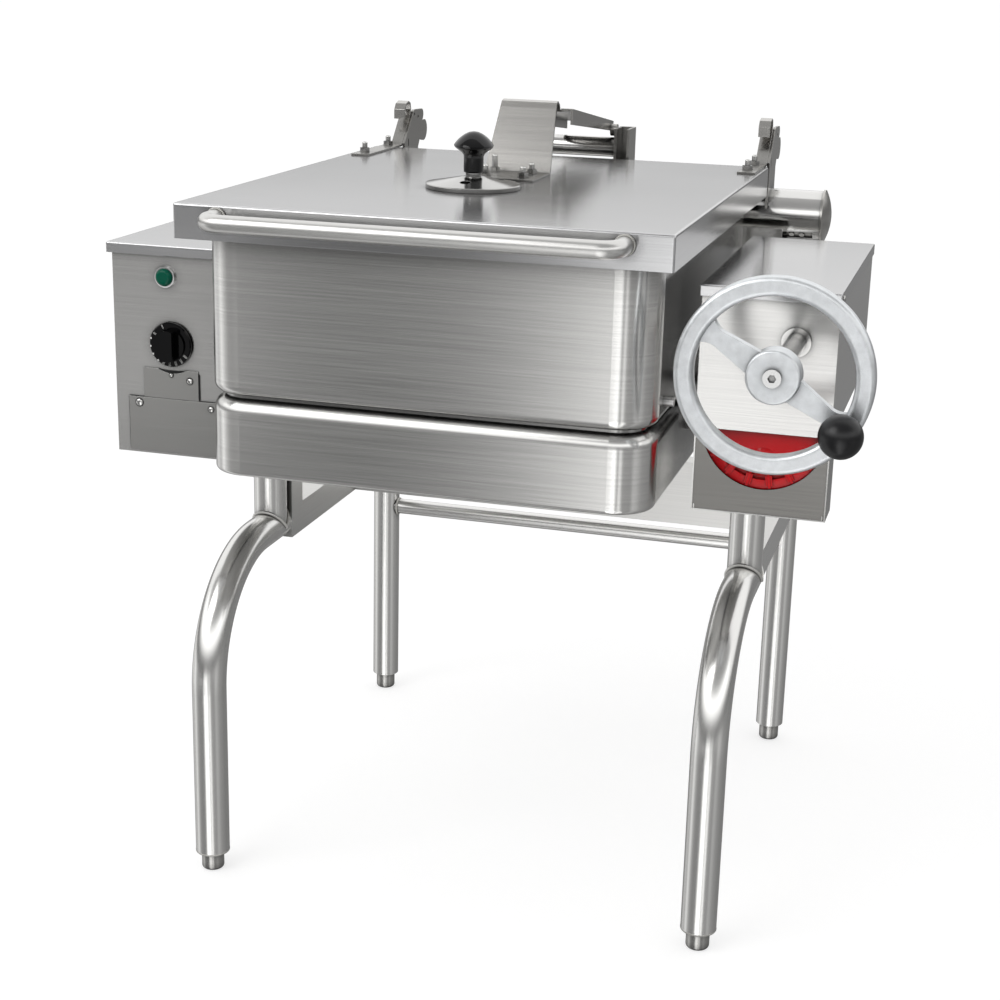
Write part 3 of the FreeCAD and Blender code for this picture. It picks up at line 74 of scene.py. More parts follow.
def join(tree, *sockets):
    """Link sockets in pairs: output, input, output, input."""
    for start, end in zip(sockets[::2], sockets[1::2]):
        tree.links.new(start, end)


def maths(tree, operation, first=None, second=None):
    """Math node with its inputs linked or set; gives its output."""
    node = tree.nodes.new("ShaderNodeMath")
    node.operation = operation
    for socket, value in zip(node.inputs, (first, second)):
        if isinstance(value, (int, float)):
            socket.default_value = value
        elif value is not None:
            tree.links.new(value, socket)
    return node.outputs[0]


def grey_bands(tree, angle, bands):
    """Ramp of grey levels over an angle in degrees from -180 to 180; gives its colour."""
    share = tree.nodes.new("ShaderNodeMapRange")
    share.inputs["From Min"].default_value = -180.0
    share.inputs["From Max"].default_value = 180.0
    ramp = tree.nodes.new("ShaderNodeValToRGB")
    steps = ramp.color_ramp.elements
    for place, level in bands[2:]:
        steps.new((place + 180.0) / 360.0)
    for step, (place, level) in zip(steps, bands):
        step.position = (place + 180.0) / 360.0
        step.color = (level, level, level, 1.0)
    join(tree, angle, share.inputs["Value"], share.outputs[0], ramp.inputs[0])
    return ramp.outputs[0]


def mixed(tree, share, first, second):
    """Colour mix; the second may be a grey level."""
    mix = tree.nodes.new("ShaderNodeMix")
    mix.data_type = "RGBA"
    join(tree, share, mix.inputs[0], first, mix.inputs[6])
    if isinstance(second, float):
        mix.inputs[7].default_value = (second, second, second, 1.0)
    else:
        tree.links.new(second, mix.inputs[7])
    return mix.outputs[2]


direction = sky.nodes.new("ShaderNodeTexCoord")
parts = sky.nodes.new("ShaderNodeSeparateXYZ")
sky.links.new(direction.outputs["Generated"], parts.inputs[0])
forward = maths(sky, "MULTIPLY", parts.outputs["Y"], -1.0)
turn = maths(sky, "MULTIPLY", maths(sky, "ARCTAN2", parts.outputs["X"], forward), 180 / math.pi)
lift = maths(sky, "MULTIPLY", maths(sky, "ARCSINE", parts.outputs["Z"]), 180 / math.pi)
# All rows are degrees with half the brightness there. A turn of 0 is straight ahead of the pan.
floor_room = (
    (-180, 0.12), (-159, 0.12), (-134, 0.15), (-115, 0.36), (-98, 0.24), (-84, 0.56), (-70, 0.30),
    (-57, 0.18), (-44, 0.15), (-25, 0.15), (-16, 0.17), (-12, 0.85), (-9, 1.0), (12, 1.0), (15, 0.35),
    (19, 0.30), (22, 0.80), (28, 0.80), (32, 0.22), (55, 0.18), (65, 0.28), (75, 0.24), (90, 0.18),
    (130, 0.13), (165, 0.13), (180, 0.12),
)
base_room = (
    (-180, 0.15), (-159, 0.15), (-134, 0.21), (-115, 0.46), (-98, 0.33), (-84, 0.64), (-70, 0.37),
    (-57, 0.24), (-44, 0.20), (-27, 0.08), (-18, 0.04), (-14, 0.15), (-11.5, 0.52), (-9.8, 0.90),
    (-8.8, 0.05), (-3, 0.05), (1, 0.70), (9, 0.90), (13, 0.35), (19, 0.25), (23, 0.65), (27, 0.30), (31, 0.22), (55, 0.19),
    (65, 0.37), (75, 0.32), (90, 0.22), (130, 0.15), (165, 0.16), (180, 0.15),
)
level_room = (
    (-180, 0.12), (-159, 0.15), (-134, 0.21), (-115, 0.46), (-98, 0.33), (-84, 0.64), (-70, 0.37),
    (-57, 0.24), (-44, 0.24), (-27, 0.44), (-25.6, 0.46), (-24.9, 0.90), (-23.9, 0.30), (-22, 0.15),
    (-17.5, 0.14), (-13.5, 0.50), (-11.5, 0.96), (-9.8, 1.0), (10, 1.0), (15, 0.25), (19, 0.25), (23, 0.65),
    (27, 0.30), (31, 0.22), (55, 0.19), (65, 0.37), (75, 0.32), (90, 0.18), (130, 0.10), (180, 0.12),
)
skirt_room = (
    (-180, 0.12), (-134, 0.21), (-115, 0.46), (-84, 0.64), (-57, 0.24), (-27, 0.12), (-22, 0.07),
    (-17, 0.08), (-13, 0.24), (-10.5, 0.60), (-9, 0.75), (9, 0.75), (15, 0.25), (23, 0.65), (31, 0.22),
    (65, 0.37), (90, 0.18), (180, 0.12),
)
high_room = (
    (-180, 0.10), (2, 0.10), (8, 0.20), (14, 0.70), (18, 0.90), (28, 0.90), (33, 0.34), (42, 0.20),
    (62, 0.22), (90, 0.30), (180, 0.30),
)


def between(low, high):
    """Share from 0 to 1 over a stretch of lift."""
    share = sky.nodes.new("ShaderNodeMapRange")
    share.inputs["From Min"].default_value = low
    share.inputs["From Max"].default_value = high
    sky.links.new(lift, share.inputs["Value"])
    return share.outputs[0]


floor_part = mixed(sky, between(-20.5, -18.5), grey_bands(sky, turn, floor_room), grey_bands(sky, turn, base_room))
wall_part = mixed(sky, between(-14.8, -14.3), floor_part, grey_bands(sky, turn, level_room))
skirt_part = mixed(sky, between(-10.2, -9.7), wall_part, grey_bands(sky, turn, skirt_room))
front_room = mixed(sky, between(-6.5, -2.0), skirt_part, grey_bands(sky, lift, high_room))
behind = maths(sky, "MULTIPLY", maths(sky, "GREATER_THAN", parts.outputs["Y"], 0.0), between(5.0, 14.0))
mirrored = sky.nodes.new("ShaderNodeBackground")
mirrored.inputs["Strength"].default_value = 2.0
sky.links.new(mixed(sky, behind, front_room, 0.61), mirrored.inputs["Color"])
even_light = sky.nodes.new("ShaderNodeBackground")
even_light.inputs["Color"].default_value = (1.0, 1.0, 1.0, 1.0)
even_light.inputs["Strength"].default_value = 0.72
backdrop = sky.nodes.new("ShaderNodeBackground")
backdrop.inputs["Color"].default_value = (1.0, 1.0, 1.0, 1.0)
ray = sky.nodes.new("ShaderNodeLightPath")
bounced = sky.nodes.new("ShaderNodeMixShader")
whole_room = sky.nodes.new("ShaderNodeMixShader")
sky_out = sky.nodes.new("ShaderNodeOutputWorld")
join(
    sky, ray.outputs["Is Glossy Ray"], bounced.inputs[0], even_light.outputs[0], bounced.inputs[1],
    mirrored.outputs[0], bounced.inputs[2],
    maths(sky, "MAXIMUM", ray.outputs["Is Camera Ray"], ray.outputs["Is Transmission Ray"]), whole_room.inputs[0],
    bounced.outputs[0], whole_room.inputs[1], backdrop.outputs[0], whole_room.inputs[2],
    whole_room.outputs[0], sky_out.inputs["Surface"],
)

# Key light
# One large soft box high on the left in front, for the soft shade under the lid and the pan.
key_place = Vector((-1.6, -2.2, 2.9))
key_data = bpy.data.lights.new("key_soft_box", "AREA")
key_data.shape = "RECTANGLE"
key_data.size = 2.2
key_data.size_y = 1.6
key_data.energy = 30.0
key = bpy.data.objects.new("key_soft_box", key_data)
scene.collection.objects.link(key)
key_aim = (Vector((0, 0, 0.7)) - key_place).to_track_quat("-Z", "Y")
key.matrix_world = Matrix.Translation(key_place) @ key_aim.to_matrix().to_4x4()

# Floor
# A white sheet of paper that keeps only the soft shade round the feet.
floor_half = 90.0
floor_mesh = bpy.data.meshes.new("floor")
floor_mesh.from_pydata(
    [(x * floor_half, y * floor_half, 0) for x, y in ((-1, -1), (1, -1), (1, 1), (-1, 1))], [], [(0, 1, 2, 3)]
)
floor = bpy.data.objects.new("floor", floor_mesh)
scene.collection.objects.link(floor)
floor.visible_glossy = False
paper = bpy.data.materials.new("floor_paper")
paper.use_nodes = True
paper_tree = paper.node_tree
paper_tree.nodes.clear()
paper_white = paper_tree.nodes.new("ShaderNodeBsdfDiffuse")
paper_white.inputs["Color"].default_value = (0.50, 0.50, 0.50, 1.0)
paper_glow = paper_tree.nodes.new("ShaderNodeEmission")
paper_ray = paper_tree.nodes.new("ShaderNodeLightPath")
paper_sum = paper_tree.nodes.new("ShaderNodeAddShader")
paper_out = paper_tree.nodes.new("ShaderNodeOutputMaterial")
join(
    paper_tree, maths(paper_tree, "MULTIPLY", paper_ray.outputs["Is Camera Ray"], 0.66), paper_glow.inputs["Strength"],
    paper_white.outputs[0], paper_sum.inputs[0], paper_glow.outputs[0], paper_sum.inputs[1],
    paper_sum.outputs[0], paper_out.inputs["Surface"],
)
floor_mesh.materials.append(paper)

# Front legs
# Two stainless pipes of 48 mm, each bent once through a quarter circle and run back to the
# pedestal. They are satin polished after bending, so the sheen is even along the whole pipe.


def new_group(name, inputs, outputs):
    """Shader node group with named sockets; gives the group, its input node and its output node."""
    group = bpy.data.node_groups.new(name, "ShaderNodeTree")
    for title, kind, value in inputs:
        socket = group.interface.new_socket(name=title, in_out="INPUT", socket_type=kind)
        socket.default_value = value
    for title, kind in outputs:
        group.interface.new_socket(name=title, in_out="OUTPUT", socket_type=kind)
    return group, group.nodes.new("NodeGroupInput"), group.nodes.new("NodeGroupOutput")


def noise(tree, scale, detail):
    """Noise over Object coordinates, with its own scale along X, Y and Z; gives its value."""
    place = tree.nodes.new("ShaderNodeTexCoord")
    stretch = tree.nodes.new("ShaderNodeVectorMath")
    stretch.operation = "MULTIPLY"
    stretch.inputs[1].default_value = scale
    pattern = tree.nodes.new("ShaderNodeTexNoise")
    pattern.inputs["Scale"].default_value = 1.0
    pattern.inputs["Detail"].default_value = detail
    join(tree, place.outputs["Object"], stretch.inputs[0], stretch.outputs[0], pattern.inputs["Vector"])
    return pattern.outputs["Fac"]


def swing(tree, source, depth, base):
    """base + (source - 0.5) * depth"""
    return maths(tree, "ADD", maths(tree, "MULTIPLY", maths(tree, "SUBTRACT", source, 0.5), depth), base)


def tinted(tree, colour, level):
    """Colour made lighter or darker by a level."""
    tint = tree.nodes.new("ShaderNodeVectorMath")
    tint.operation = "SCALE"
    join(tree, colour, tint.inputs[0], level, tint.inputs["Scale"])
    return tint.outputs[0]


surface_inputs = [
    ("Base", "NodeSocketColor", (0.6, 0.6, 0.6, 1.0)), ("Fine Depth", "NodeSocketFloat", 0.1),
    ("Cloud Depth", "NodeSocketFloat", 0.06), ("Roughness", "NodeSocketFloat", 0.3),
    ("Roughness Spread", "NodeSocketFloat", 0.08),
]
surface_outputs = [("Color", "NodeSocketColor"), ("Roughness", "NodeSocketFloat"), ("Height", "NodeSocketFloat")]


def fill_surface_group(name, fine, cloud):
    """Finish the group: fine and cloudy patterns shift the colour, roughness and height."""
    group, given, result = new_group(name, surface_inputs, surface_outputs)
    fine_value = fine(group)
    cloud_value = noise(group, *cloud)
    level = swing(group, fine_value, given.outputs["Fine Depth"], 1.0)
    level = swing(group, cloud_value, given.outputs["Cloud Depth"], level)
    rough = swing(group, fine_value, given.outputs["Roughness Spread"], given.outputs["Roughness"])
    rough = swing(group, cloud_value, given.outputs["Roughness Spread"], rough)
    join(
        group, tinted(group, given.outputs["Base"], level), result.inputs["Color"],
        rough, result.inputs["Roughness"], fine_value, result.inputs["Height"],
    )
    return group


def fine_mottle(group):
    """Even speckle the same in all directions, as on polished pipe, castings, paint and plastic."""
    return noise(group, (420.0, 420.0, 420.0), 2.0)


mottle_group = fill_surface_group("fine_mottle", fine_mottle, ((9.0, 9.0, 9.0), 3.0))


def surface(name, group, base, fine, cloud, rough, spread, bump, metal=1.0, gloss=0.5,
            stretch=0.0, edge=0.0, painted_shade_reach=0.016):
    """Material: a pattern group into a Principled shader. It rounds sharp folds by edge, and paints
    shade into its colour: ambient occlusion darkens whatever lies nearer than the given reach to its
    neighbours, as painted shade in corners, creases and gaps."""
    material = bpy.data.materials.new(name)
    material.use_nodes = True
    tree = material.node_tree
    shader = tree.nodes["Principled BSDF"]
    shader.inputs["Metallic"].default_value = metal
    shader.inputs["Specular IOR Level"].default_value = gloss
    shader.inputs["Anisotropic"].default_value = stretch
    pattern = tree.nodes.new("ShaderNodeGroup")
    pattern.node_tree = group
    pattern.inputs["Base"].default_value = (*base, 1.0)
    pattern.inputs["Fine Depth"].default_value = fine
    pattern.inputs["Cloud Depth"].default_value = cloud
    pattern.inputs["Roughness"].default_value = rough
    pattern.inputs["Roughness Spread"].default_value = spread
    # Painted shade: ambient occlusion darkens the base colour in corners, creases and gaps.
    corners = tree.nodes.new("ShaderNodeAmbientOcclusion")
    corners.samples = 6
    corners.inputs["Distance"].default_value = painted_shade_reach
    relief = tree.nodes.new("ShaderNodeBump")
    relief.inputs["Strength"].default_value = bump
    relief.inputs["Distance"].default_value = 0.0005
    join(
        tree, tinted(tree, pattern.outputs["Color"], maths(tree, "POWER", corners.outputs["AO"], 1.3)),
        shader.inputs["Base Color"], pattern.outputs["Roughness"],
        shader.inputs["Roughness"], pattern.outputs["Height"], relief.inputs["Height"],
        relief.outputs[0], shader.inputs["Normal"],
    )
    if stretch:
        across = tree.nodes.new("ShaderNodeCombineXYZ")
        across.inputs[1].default_value = 0.25
        across.inputs[2].default_value = 1.0
        tree.links.new(across.outputs[0], shader.inputs["Tangent"])
    if edge:
        rounded = tree.nodes.new("ShaderNodeBevel")
        rounded.samples = 4
        rounded.inputs["Radius"].default_value = edge
        tree.links.new(rounded.outputs[0], relief.inputs["Normal"])
    return material


def finish(material, *names):
    """Give CAD nodes their finish."""
    for name in names:
        mesh = nodes[name].data
        mesh.materials.clear()
        mesh.materials.append(material)


pipe_steel = surface("satin_pipe", mottle_group, (0.70, 0.695, 0.68), 0.05, 0.05, 0.22, 0.05, 0.015)
finish(pipe_steel, "front_leg_left", "front_leg_right")

# Stub pipes
# A short upright piece of the same pipe is coped onto each leg's level run and welded under the
# console's base plate. The weld is left as laid, in fine even ripples, and brushed.
finish(pipe_steel, "front_stubs")
stub_x = 0.354
stub_y = -0.015125
stub_radius = 0.02415
stub_top = 0.612
weld_steel = surface("weld_steel", mottle_group, (0.56, 0.55, 0.52), 0.12, 0.10, 0.34, 0.10, 0.10)
saddle_steel = surface("saddle_steel", mottle_group, (0.80, 0.79, 0.76), 0.12, 0.10, 0.30, 0.10, 0.10,
                       painted_shade_reach=0.003)


def new_shape_tree(name, inputs):
    """Geometry node tree with named inputs; gives the tree, its input node and its output node."""
    tree = bpy.data.node_groups.new(name, "GeometryNodeTree")
    for title, kind, value in inputs:
        socket = tree.interface.new_socket(name=title, in_out="INPUT", socket_type=kind)
        if value is not None:
            socket.default_value = value
    tree.interface.new_socket(name="Geometry", in_out="OUTPUT", socket_type="NodeSocketGeometry")
    return tree, tree.nodes.new("NodeGroupInput"), tree.nodes.new("NodeGroupOutput")


def end_shape_tree(tree, given, result, instances):
    """Last steps of every tree: real geometry, with its material set."""
    real = tree.nodes.new("GeometryNodeRealizeInstances")
    painted = tree.nodes.new("GeometryNodeSetMaterial")
    join(
        tree, instances, real.inputs[0], real.outputs[0], painted.inputs["Geometry"],
        given.outputs["Material"], painted.inputs["Material"], painted.outputs[0], result.inputs[0],
    )


def weld_ring_tree():
    """Ring of overlapping flat drops: the ripples of a weld bead round a pipe."""
    tree, given, result = new_shape_tree(
        "weld_ring",
        [("Radius", "NodeSocketFloat", 0.02), ("Bead", "NodeSocketFloat", 0.002),
         ("Ripples", "NodeSocketInt", 60), ("Material", "NodeSocketMaterial", None)],
    )
    ring = tree.nodes.new("GeometryNodeMeshCircle")
    drop = tree.nodes.new("GeometryNodeMeshUVSphere")
    drop.inputs["Segments"].default_value = 8
    drop.inputs["Rings"].default_value = 6
    laid = tree.nodes.new("GeometryNodeInstanceOnPoints")
    join(
        tree, given.outputs["Ripples"], ring.inputs["Vertices"], given.outputs["Radius"], ring.inputs["Radius"],
        given.outputs["Bead"], drop.inputs["Radius"], ring.outputs[0], laid.inputs["Points"],
        drop.outputs["Mesh"], laid.inputs["Instance"],
    )
    end_shape_tree(tree, given, result, laid.outputs[0])
    return tree


weld_ring = weld_ring_tree()


def shape_mesh(name, tree, material, **sizes):
    """Plain mesh that a tree gives for its named sizes."""
    holder = bpy.data.objects.new(name, bpy.data.meshes.new(name + "_start"))
    scene.collection.objects.link(holder)
    step = holder.modifiers.new("shape", "NODES")
    step.node_group = tree
    given = {title.replace("_", " ").title(): value for title, value in sizes.items()}
    given["Material"] = material
    for socket in tree.interface.items_tree:
        if socket.in_out == "INPUT":
            step[socket.identifier] = given[socket.name]
    graph = bpy.context.evaluated_depsgraph_get()
    mesh = bpy.data.meshes.new_from_object(holder.evaluated_get(graph))
    holder.modifiers.remove(step)
    bpy.data.objects.remove(holder)
    mesh.name = name
    return mesh


def merged(name, meshes):
    """One mesh from several."""
    whole = bmesh.new()
    for mesh in meshes:
        whole.from_mesh(mesh)
    result = bpy.data.meshes.new(name)
    whole.to_mesh(result)
    whole.free()
    return result


def add_piece(name, mesh, material, body, smooth=True):
    """New piece at the origin that rides on a CAD body."""
    mesh.materials.clear()
    mesh.materials.append(material)
    for face in mesh.polygons:
        face.material_index = 0
        face.use_smooth = smooth
    if smooth:
        mesh.set_sharp_from_angle(angle=math.radians(40))
    piece = bpy.data.objects.new(name, mesh)
    scene.collection.objects.link(piece)
    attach(piece, body)
    return piece


def weld_beads(name, places, body):
    """Weld rings at given centres; each place is (centre, axis, pipe radius)."""
    rings = []
    for centre, axis, radius in places:
        ring = shape_mesh(name, weld_ring, weld_steel, radius=radius + 0.0003, bead=0.0022,
                          ripples=round(radius * 3200))
        ring.transform(Matrix.Translation(centre) @ Vector(axis).to_track_quat("Z", "Y").to_matrix().to_4x4())
        rings.append(ring)
    return add_piece(name, merged(name, rings), weld_steel, body)


weld_beads("stub_welds", [((side * stub_x - 0.02825, stub_y, stub_top - 0.0022), (0, 0, 1), stub_radius)
                          for side in (-1, 1)], "frame")
# Where two equal pipes cross, the joint rises from the run's middle by the distance from it.
run_height = 0.450
saddles = []
for side in (-1, 1):
    saddle = shape_mesh("saddle_welds", weld_ring, saddle_steel, radius=stub_radius + 0.0004, bead=0.0030,
                        ripples=72)
    for corner in saddle.vertices:
        corner.co.z += run_height + abs(corner.co.y)
    saddle.transform(Matrix.Translation((side * stub_x - 0.02825, stub_y, 0.0)))
    saddles.append(saddle)
add_piece("saddle_welds", merged("saddle_welds", saddles), saddle_steel, "frame")

# Rear legs and their cross pipe
# Straight pipes of 44.5 mm with a closed top, joined low down by a lighter pipe that is coped
# round both legs and welded.
finish(pipe_steel, "rear_legs", "rear_cross_pipe")
cross_z = 0.341
rear_x = 0.346
rear_y = 0.481875
weld_beads("cross_pipe_welds", [((side * (rear_x - 0.0222) - 0.02825, rear_y, cross_z), (1, 0, 0), 0.013)
                                for side in (-1, 1)], "frame")

# Side rails and cross channel
# Rectangular tube from each pedestal back to the rear leg, and a folded channel between the two
# rails. Both are brushed along their length.


def level_grain(group):
    """Fine scratches that run level: along the wall on upright faces and along X on flat tops."""
    facing = group.nodes.new("ShaderNodeTexCoord")
    facing_parts = group.nodes.new("ShaderNodeSeparateXYZ")
    is_flat = group.nodes.new("ShaderNodeMapRange")
    is_flat.inputs["From Min"].default_value = 0.6
    is_flat.inputs["From Max"].default_value = 0.8
    pick = group.nodes.new("ShaderNodeMix")
    join(group, facing.outputs["Normal"], facing_parts.inputs[0],
         maths(group, "ABSOLUTE", facing_parts.outputs["Z"]), is_flat.inputs["Value"],
         is_flat.outputs[0], pick.inputs[0], noise(group, (6.0, 6.0, 820.0), 2.0), pick.inputs[2],
         noise(group, (6.0, 820.0, 6.0), 2.0), pick.inputs[3])
    return pick.outputs[0]


grain_group = fill_surface_group("brushed_grain", level_grain, ((2.4, 2.4, 7.0), 3.0))
rail_steel = surface("rail_steel", grain_group, (0.62, 0.615, 0.60), 0.22, 0.10, 0.30, 0.10, 0.02,
                     stretch=0.6, edge=0.001)
finish(rail_steel, "side_rails", "cross_channel")

# Pedestals
# A closed post behind each stub pipe, with a gusset and the thick plate that a console and its
# trunnion bearing are bolted to.
finish(rail_steel, "pedestal_left", "pedestal_right")

# Feet
# Turned levelling feet with a rounded lower edge on a threaded stem, in plugs pressed and welded
# into the ends of the legs.
foot_steel = surface("turned_foot", mottle_group, (0.46, 0.455, 0.44), 0.06, 0.05, 0.24, 0.05, 0.02)
finish(foot_steel, "front_foot_left", "front_foot_right", "rear_foot_left", "rear_foot_right", "leg_sockets")
leg_ends = [((side * 0.354 - 0.02825, -0.242125, 0.0288), (0, 0, 1), 0.0221) for side in (-1, 1)]
leg_ends += [((side * 0.346 - 0.02825, 0.481875, 0.0288), (0, 0, 1), 0.0194) for side in (-1, 1)]
weld_beads("leg_end_welds", leg_ends, "frame")

# Left console box
# Folded and seam-welded from 1.5 mm stainless sheet with a level grain; it holds the controls.
console_steel = surface("console_steel", grain_group, (0.66, 0.655, 0.64), 0.32, 0.07, 0.20, 0.06, 0.012,
                        stretch=0.6, edge=0.0012)
finish(console_steel, "left_console_body")

# Left console lid
# Folded lid with a short turned-down edge all round, pressed over the box.
lid_steel = surface("lid_steel", grain_group, (0.55, 0.55, 0.555), 0.26, 0.08, 0.15, 0.05, 0.012,
                    stretch=0.8, edge=0.0015)
finish(lid_steel, "left_console_lid")

# Service plate and dial guard
# Two thin cover plates screwed flat on the console's front, the upper one notched round the dial.
# They are cut from a duller sheet. The black strips at the guard's right edge and round its notch,
# and along the service plate's top and left edges, are painted shadow for the gaps at the plates' edges.
plate_steel = surface("plate_steel", grain_group, (0.50, 0.495, 0.48), 0.26, 0.08, 0.20, 0.06, 0.012,
                      stretch=0.6, edge=0.0006)
finish(plate_steel, "service_plate", "dial_guard")
# Black strips that are painted shadow, at the plates' edges and round the screw heads.
shadow_strip_width = 0.0022
painted_shadow_black = surface("painted_shadow_black", mottle_group, (0.010, 0.010, 0.010), 0.3, 0.2, 0.85, 0.10, 0.30, metal=0.0)


def upright_strip(name, low, high):
    """Flat strip between two corners with its long edges rounded off."""
    solid = bmesh.new()
    bmesh.ops.create_cube(solid, size=1.0)
    middle = (Vector(low) + Vector(high)) / 2
    for corner in solid.verts:
        corner.co = middle + Vector([(b - a) * c for a, b, c in zip(low, high, corner.co)])
    bmesh.ops.bevel(solid, geom=solid.edges[:], offset=(high[1] - low[1]) * 0.3, segments=2, affect="EDGES")
    mesh = bpy.data.meshes.new(name)
    solid.to_mesh(mesh)
    solid.free()
    return mesh


def crescent(name, centre, outer, width, first, last, front, back):
    """Strip along the inside of an arc, widest at its middle, facing the cook."""
    solid = bmesh.new()
    steps = 24
    rows = []
    for step in range(steps + 1):
        share = step / steps
        angle = math.radians(first + (last - first) * share)
        inner = outer - width * math.sin(math.pi * share) - 0.0001
        rows.append([solid.verts.new((centre[0] + radius * math.cos(angle), depth, centre[1] + radius * math.sin(angle)))
                     for radius, depth in ((inner, front), (outer, front), (outer, back), (inner, back))])
    for row, after in zip(rows, rows[1:]):
        for side in range(4):
            solid.faces.new((row[side], after[side], after[(side + 1) % 4], row[(side + 1) % 4]))
    solid.faces.new(rows[0][::-1])
    solid.faces.new(rows[-1])
    bmesh.ops.recalc_face_normals(solid, faces=solid.faces[:])
    mesh = bpy.data.meshes.new(name)
    solid.to_mesh(mesh)
    solid.free()
    return mesh


# Painted shadow strips along the guard's right edge, round its notch, and along the service plate's top and left
# edges.
guard_low, guard_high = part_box("dial_guard")
dial_centre = Vector((-0.42475, -0.247925, 0.7655))
notch_radius = 0.040
notch_shadow_strip = crescent("notch_shadow_strip", (dial_centre.x, dial_centre.z), notch_radius, 0.0036, -121, -59,
                      guard_low[1] + 0.0001, guard_high[1])
guard_shadow_strip = upright_strip("guard_shadow", (guard_high[0], guard_low[1] + 0.0002, guard_low[2] + 0.001),
                          (guard_high[0] + shadow_strip_width, guard_high[1], guard_high[2] - 0.004))
service_low, service_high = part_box("service_plate")
shadow_gap_width = 0.0008
top_shadow_strip = upright_strip("top_shadow_strip", (service_low[0], service_low[1] - 0.0001, service_high[2]),
                         (service_high[0], service_high[1], service_high[2] + shadow_gap_width))
side_shadow_strip = upright_strip("side_shadow_strip", (service_low[0] - shadow_gap_width, service_low[1] + 0.0003, service_low[2]),
                          (service_low[0], service_high[1], service_high[2]))
add_piece("plate_shadow_strips", merged("plate_shadow_strips", [guard_shadow_strip, notch_shadow_strip, top_shadow_strip, side_shadow_strip]), painted_shadow_black,
          "frame")

# Panel screws
# Domed stainless screws with a straight slot: four in the plates and one in the other console's
# lid. Each slot stands at the angle where the screw came tight. A black ring round each head is
# painted shade for its countersunk rim.
screw_height = 0.0024
bright_steel = surface("bright_steel", mottle_group, (0.62, 0.615, 0.60), 0.05, 0.05, 0.14, 0.05, 0.01)


def slotted_screw_tree():
    """Domed screw head on its back, with a slot cut across it."""
    tree, given, result = new_shape_tree(
        "slotted_screw",
        [("Head Radius", "NodeSocketFloat", 0.004), ("Head Height", "NodeSocketFloat", 0.002),
         ("Slot Width", "NodeSocketFloat", 0.001), ("Material", "NodeSocketMaterial", None)],
    )
    dome = tree.nodes.new("GeometryNodeMeshUVSphere")
    dome.inputs["Segments"].default_value = 32
    dome.inputs["Rings"].default_value = 16
    flattened = tree.nodes.new("GeometryNodeTransform")
    squash = tree.nodes.new("ShaderNodeCombineXYZ")
    cutter = tree.nodes.new("GeometryNodeMeshCube")
    cutter_size = tree.nodes.new("ShaderNodeCombineXYZ")
    raised = tree.nodes.new("GeometryNodeTransform")
    raised_by = tree.nodes.new("ShaderNodeCombineXYZ")
    cut = tree.nodes.new("GeometryNodeMeshBoolean")
    join(
        tree, given.outputs["Head Radius"], squash.inputs[0], given.outputs["Head Radius"], squash.inputs[1],
        given.outputs["Head Height"], squash.inputs[2], squash.outputs[0], flattened.inputs["Scale"],
        dome.outputs["Mesh"], flattened.inputs["Geometry"],
        maths(tree, "MULTIPLY", given.outputs["Head Radius"], 3.0), cutter_size.inputs[0],
        given.outputs["Slot Width"], cutter_size.inputs[1], given.outputs["Head Height"], cutter_size.inputs[2],
        cutter_size.outputs[0], cutter.inputs["Size"], given.outputs["Head Height"], raised_by.inputs[2],
        raised_by.outputs[0], raised.inputs["Translation"], cutter.outputs["Mesh"], raised.inputs["Geometry"],
        flattened.outputs[0], cut.inputs["Mesh 1"], raised.outputs[0], cut.inputs["Mesh 2"],
    )
    end_shape_tree(tree, given, result, cut.outputs[0])
    return tree


slotted_screw = slotted_screw_tree()
front_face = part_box("service_plate")[0][1]
hood_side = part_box("right_console_lid")[1][0]
screw_places = (
    ((-0.47425, front_face, 0.682), (0, -1, 0), 0.0052, 1.1),
    ((-0.36925, front_face, 0.681), (0, -1, 0), 0.0040, 0.2),
    ((-0.39925, front_face, 0.717), (0, -1, 0), 0.0043, 2.3),
    ((-0.42600, front_face, 0.7235), (0, -1, 0), 0.0028, 0.9),
    ((hood_side, -0.234125, 0.890), (1, 0, 0), 0.0045, 0.6),
)
# Black ring round each screw head: painted shade for its countersink.
shade_ring_width = 0.0009
shade_ring_height = 0.0002
screw_meshes = []
shade_ring_meshes = []


def turned_ring(name, profile, steps):
    """Closed ring turned about Z from (radius, height) corners."""
    ring = bmesh.new()
    corners = [ring.verts.new((radius, 0.0, height)) for radius, height in profile]
    edges = [ring.edges.new(pair) for pair in zip(corners, corners[1:] + corners[:1])]
    bmesh.ops.spin(ring, geom=corners + edges, axis=(0, 0, 1), cent=(0, 0, 0), angle=2 * math.pi, steps=steps)
    bmesh.ops.remove_doubles(ring, verts=ring.verts[:], dist=0.00001)
    bmesh.ops.delete(ring, geom=[edge for edge in ring.edges if not edge.link_faces], context="EDGES")
    bmesh.ops.recalc_face_normals(ring, faces=ring.faces[:])
    mesh = bpy.data.meshes.new(name)
    ring.to_mesh(mesh)
    ring.free()
    return mesh


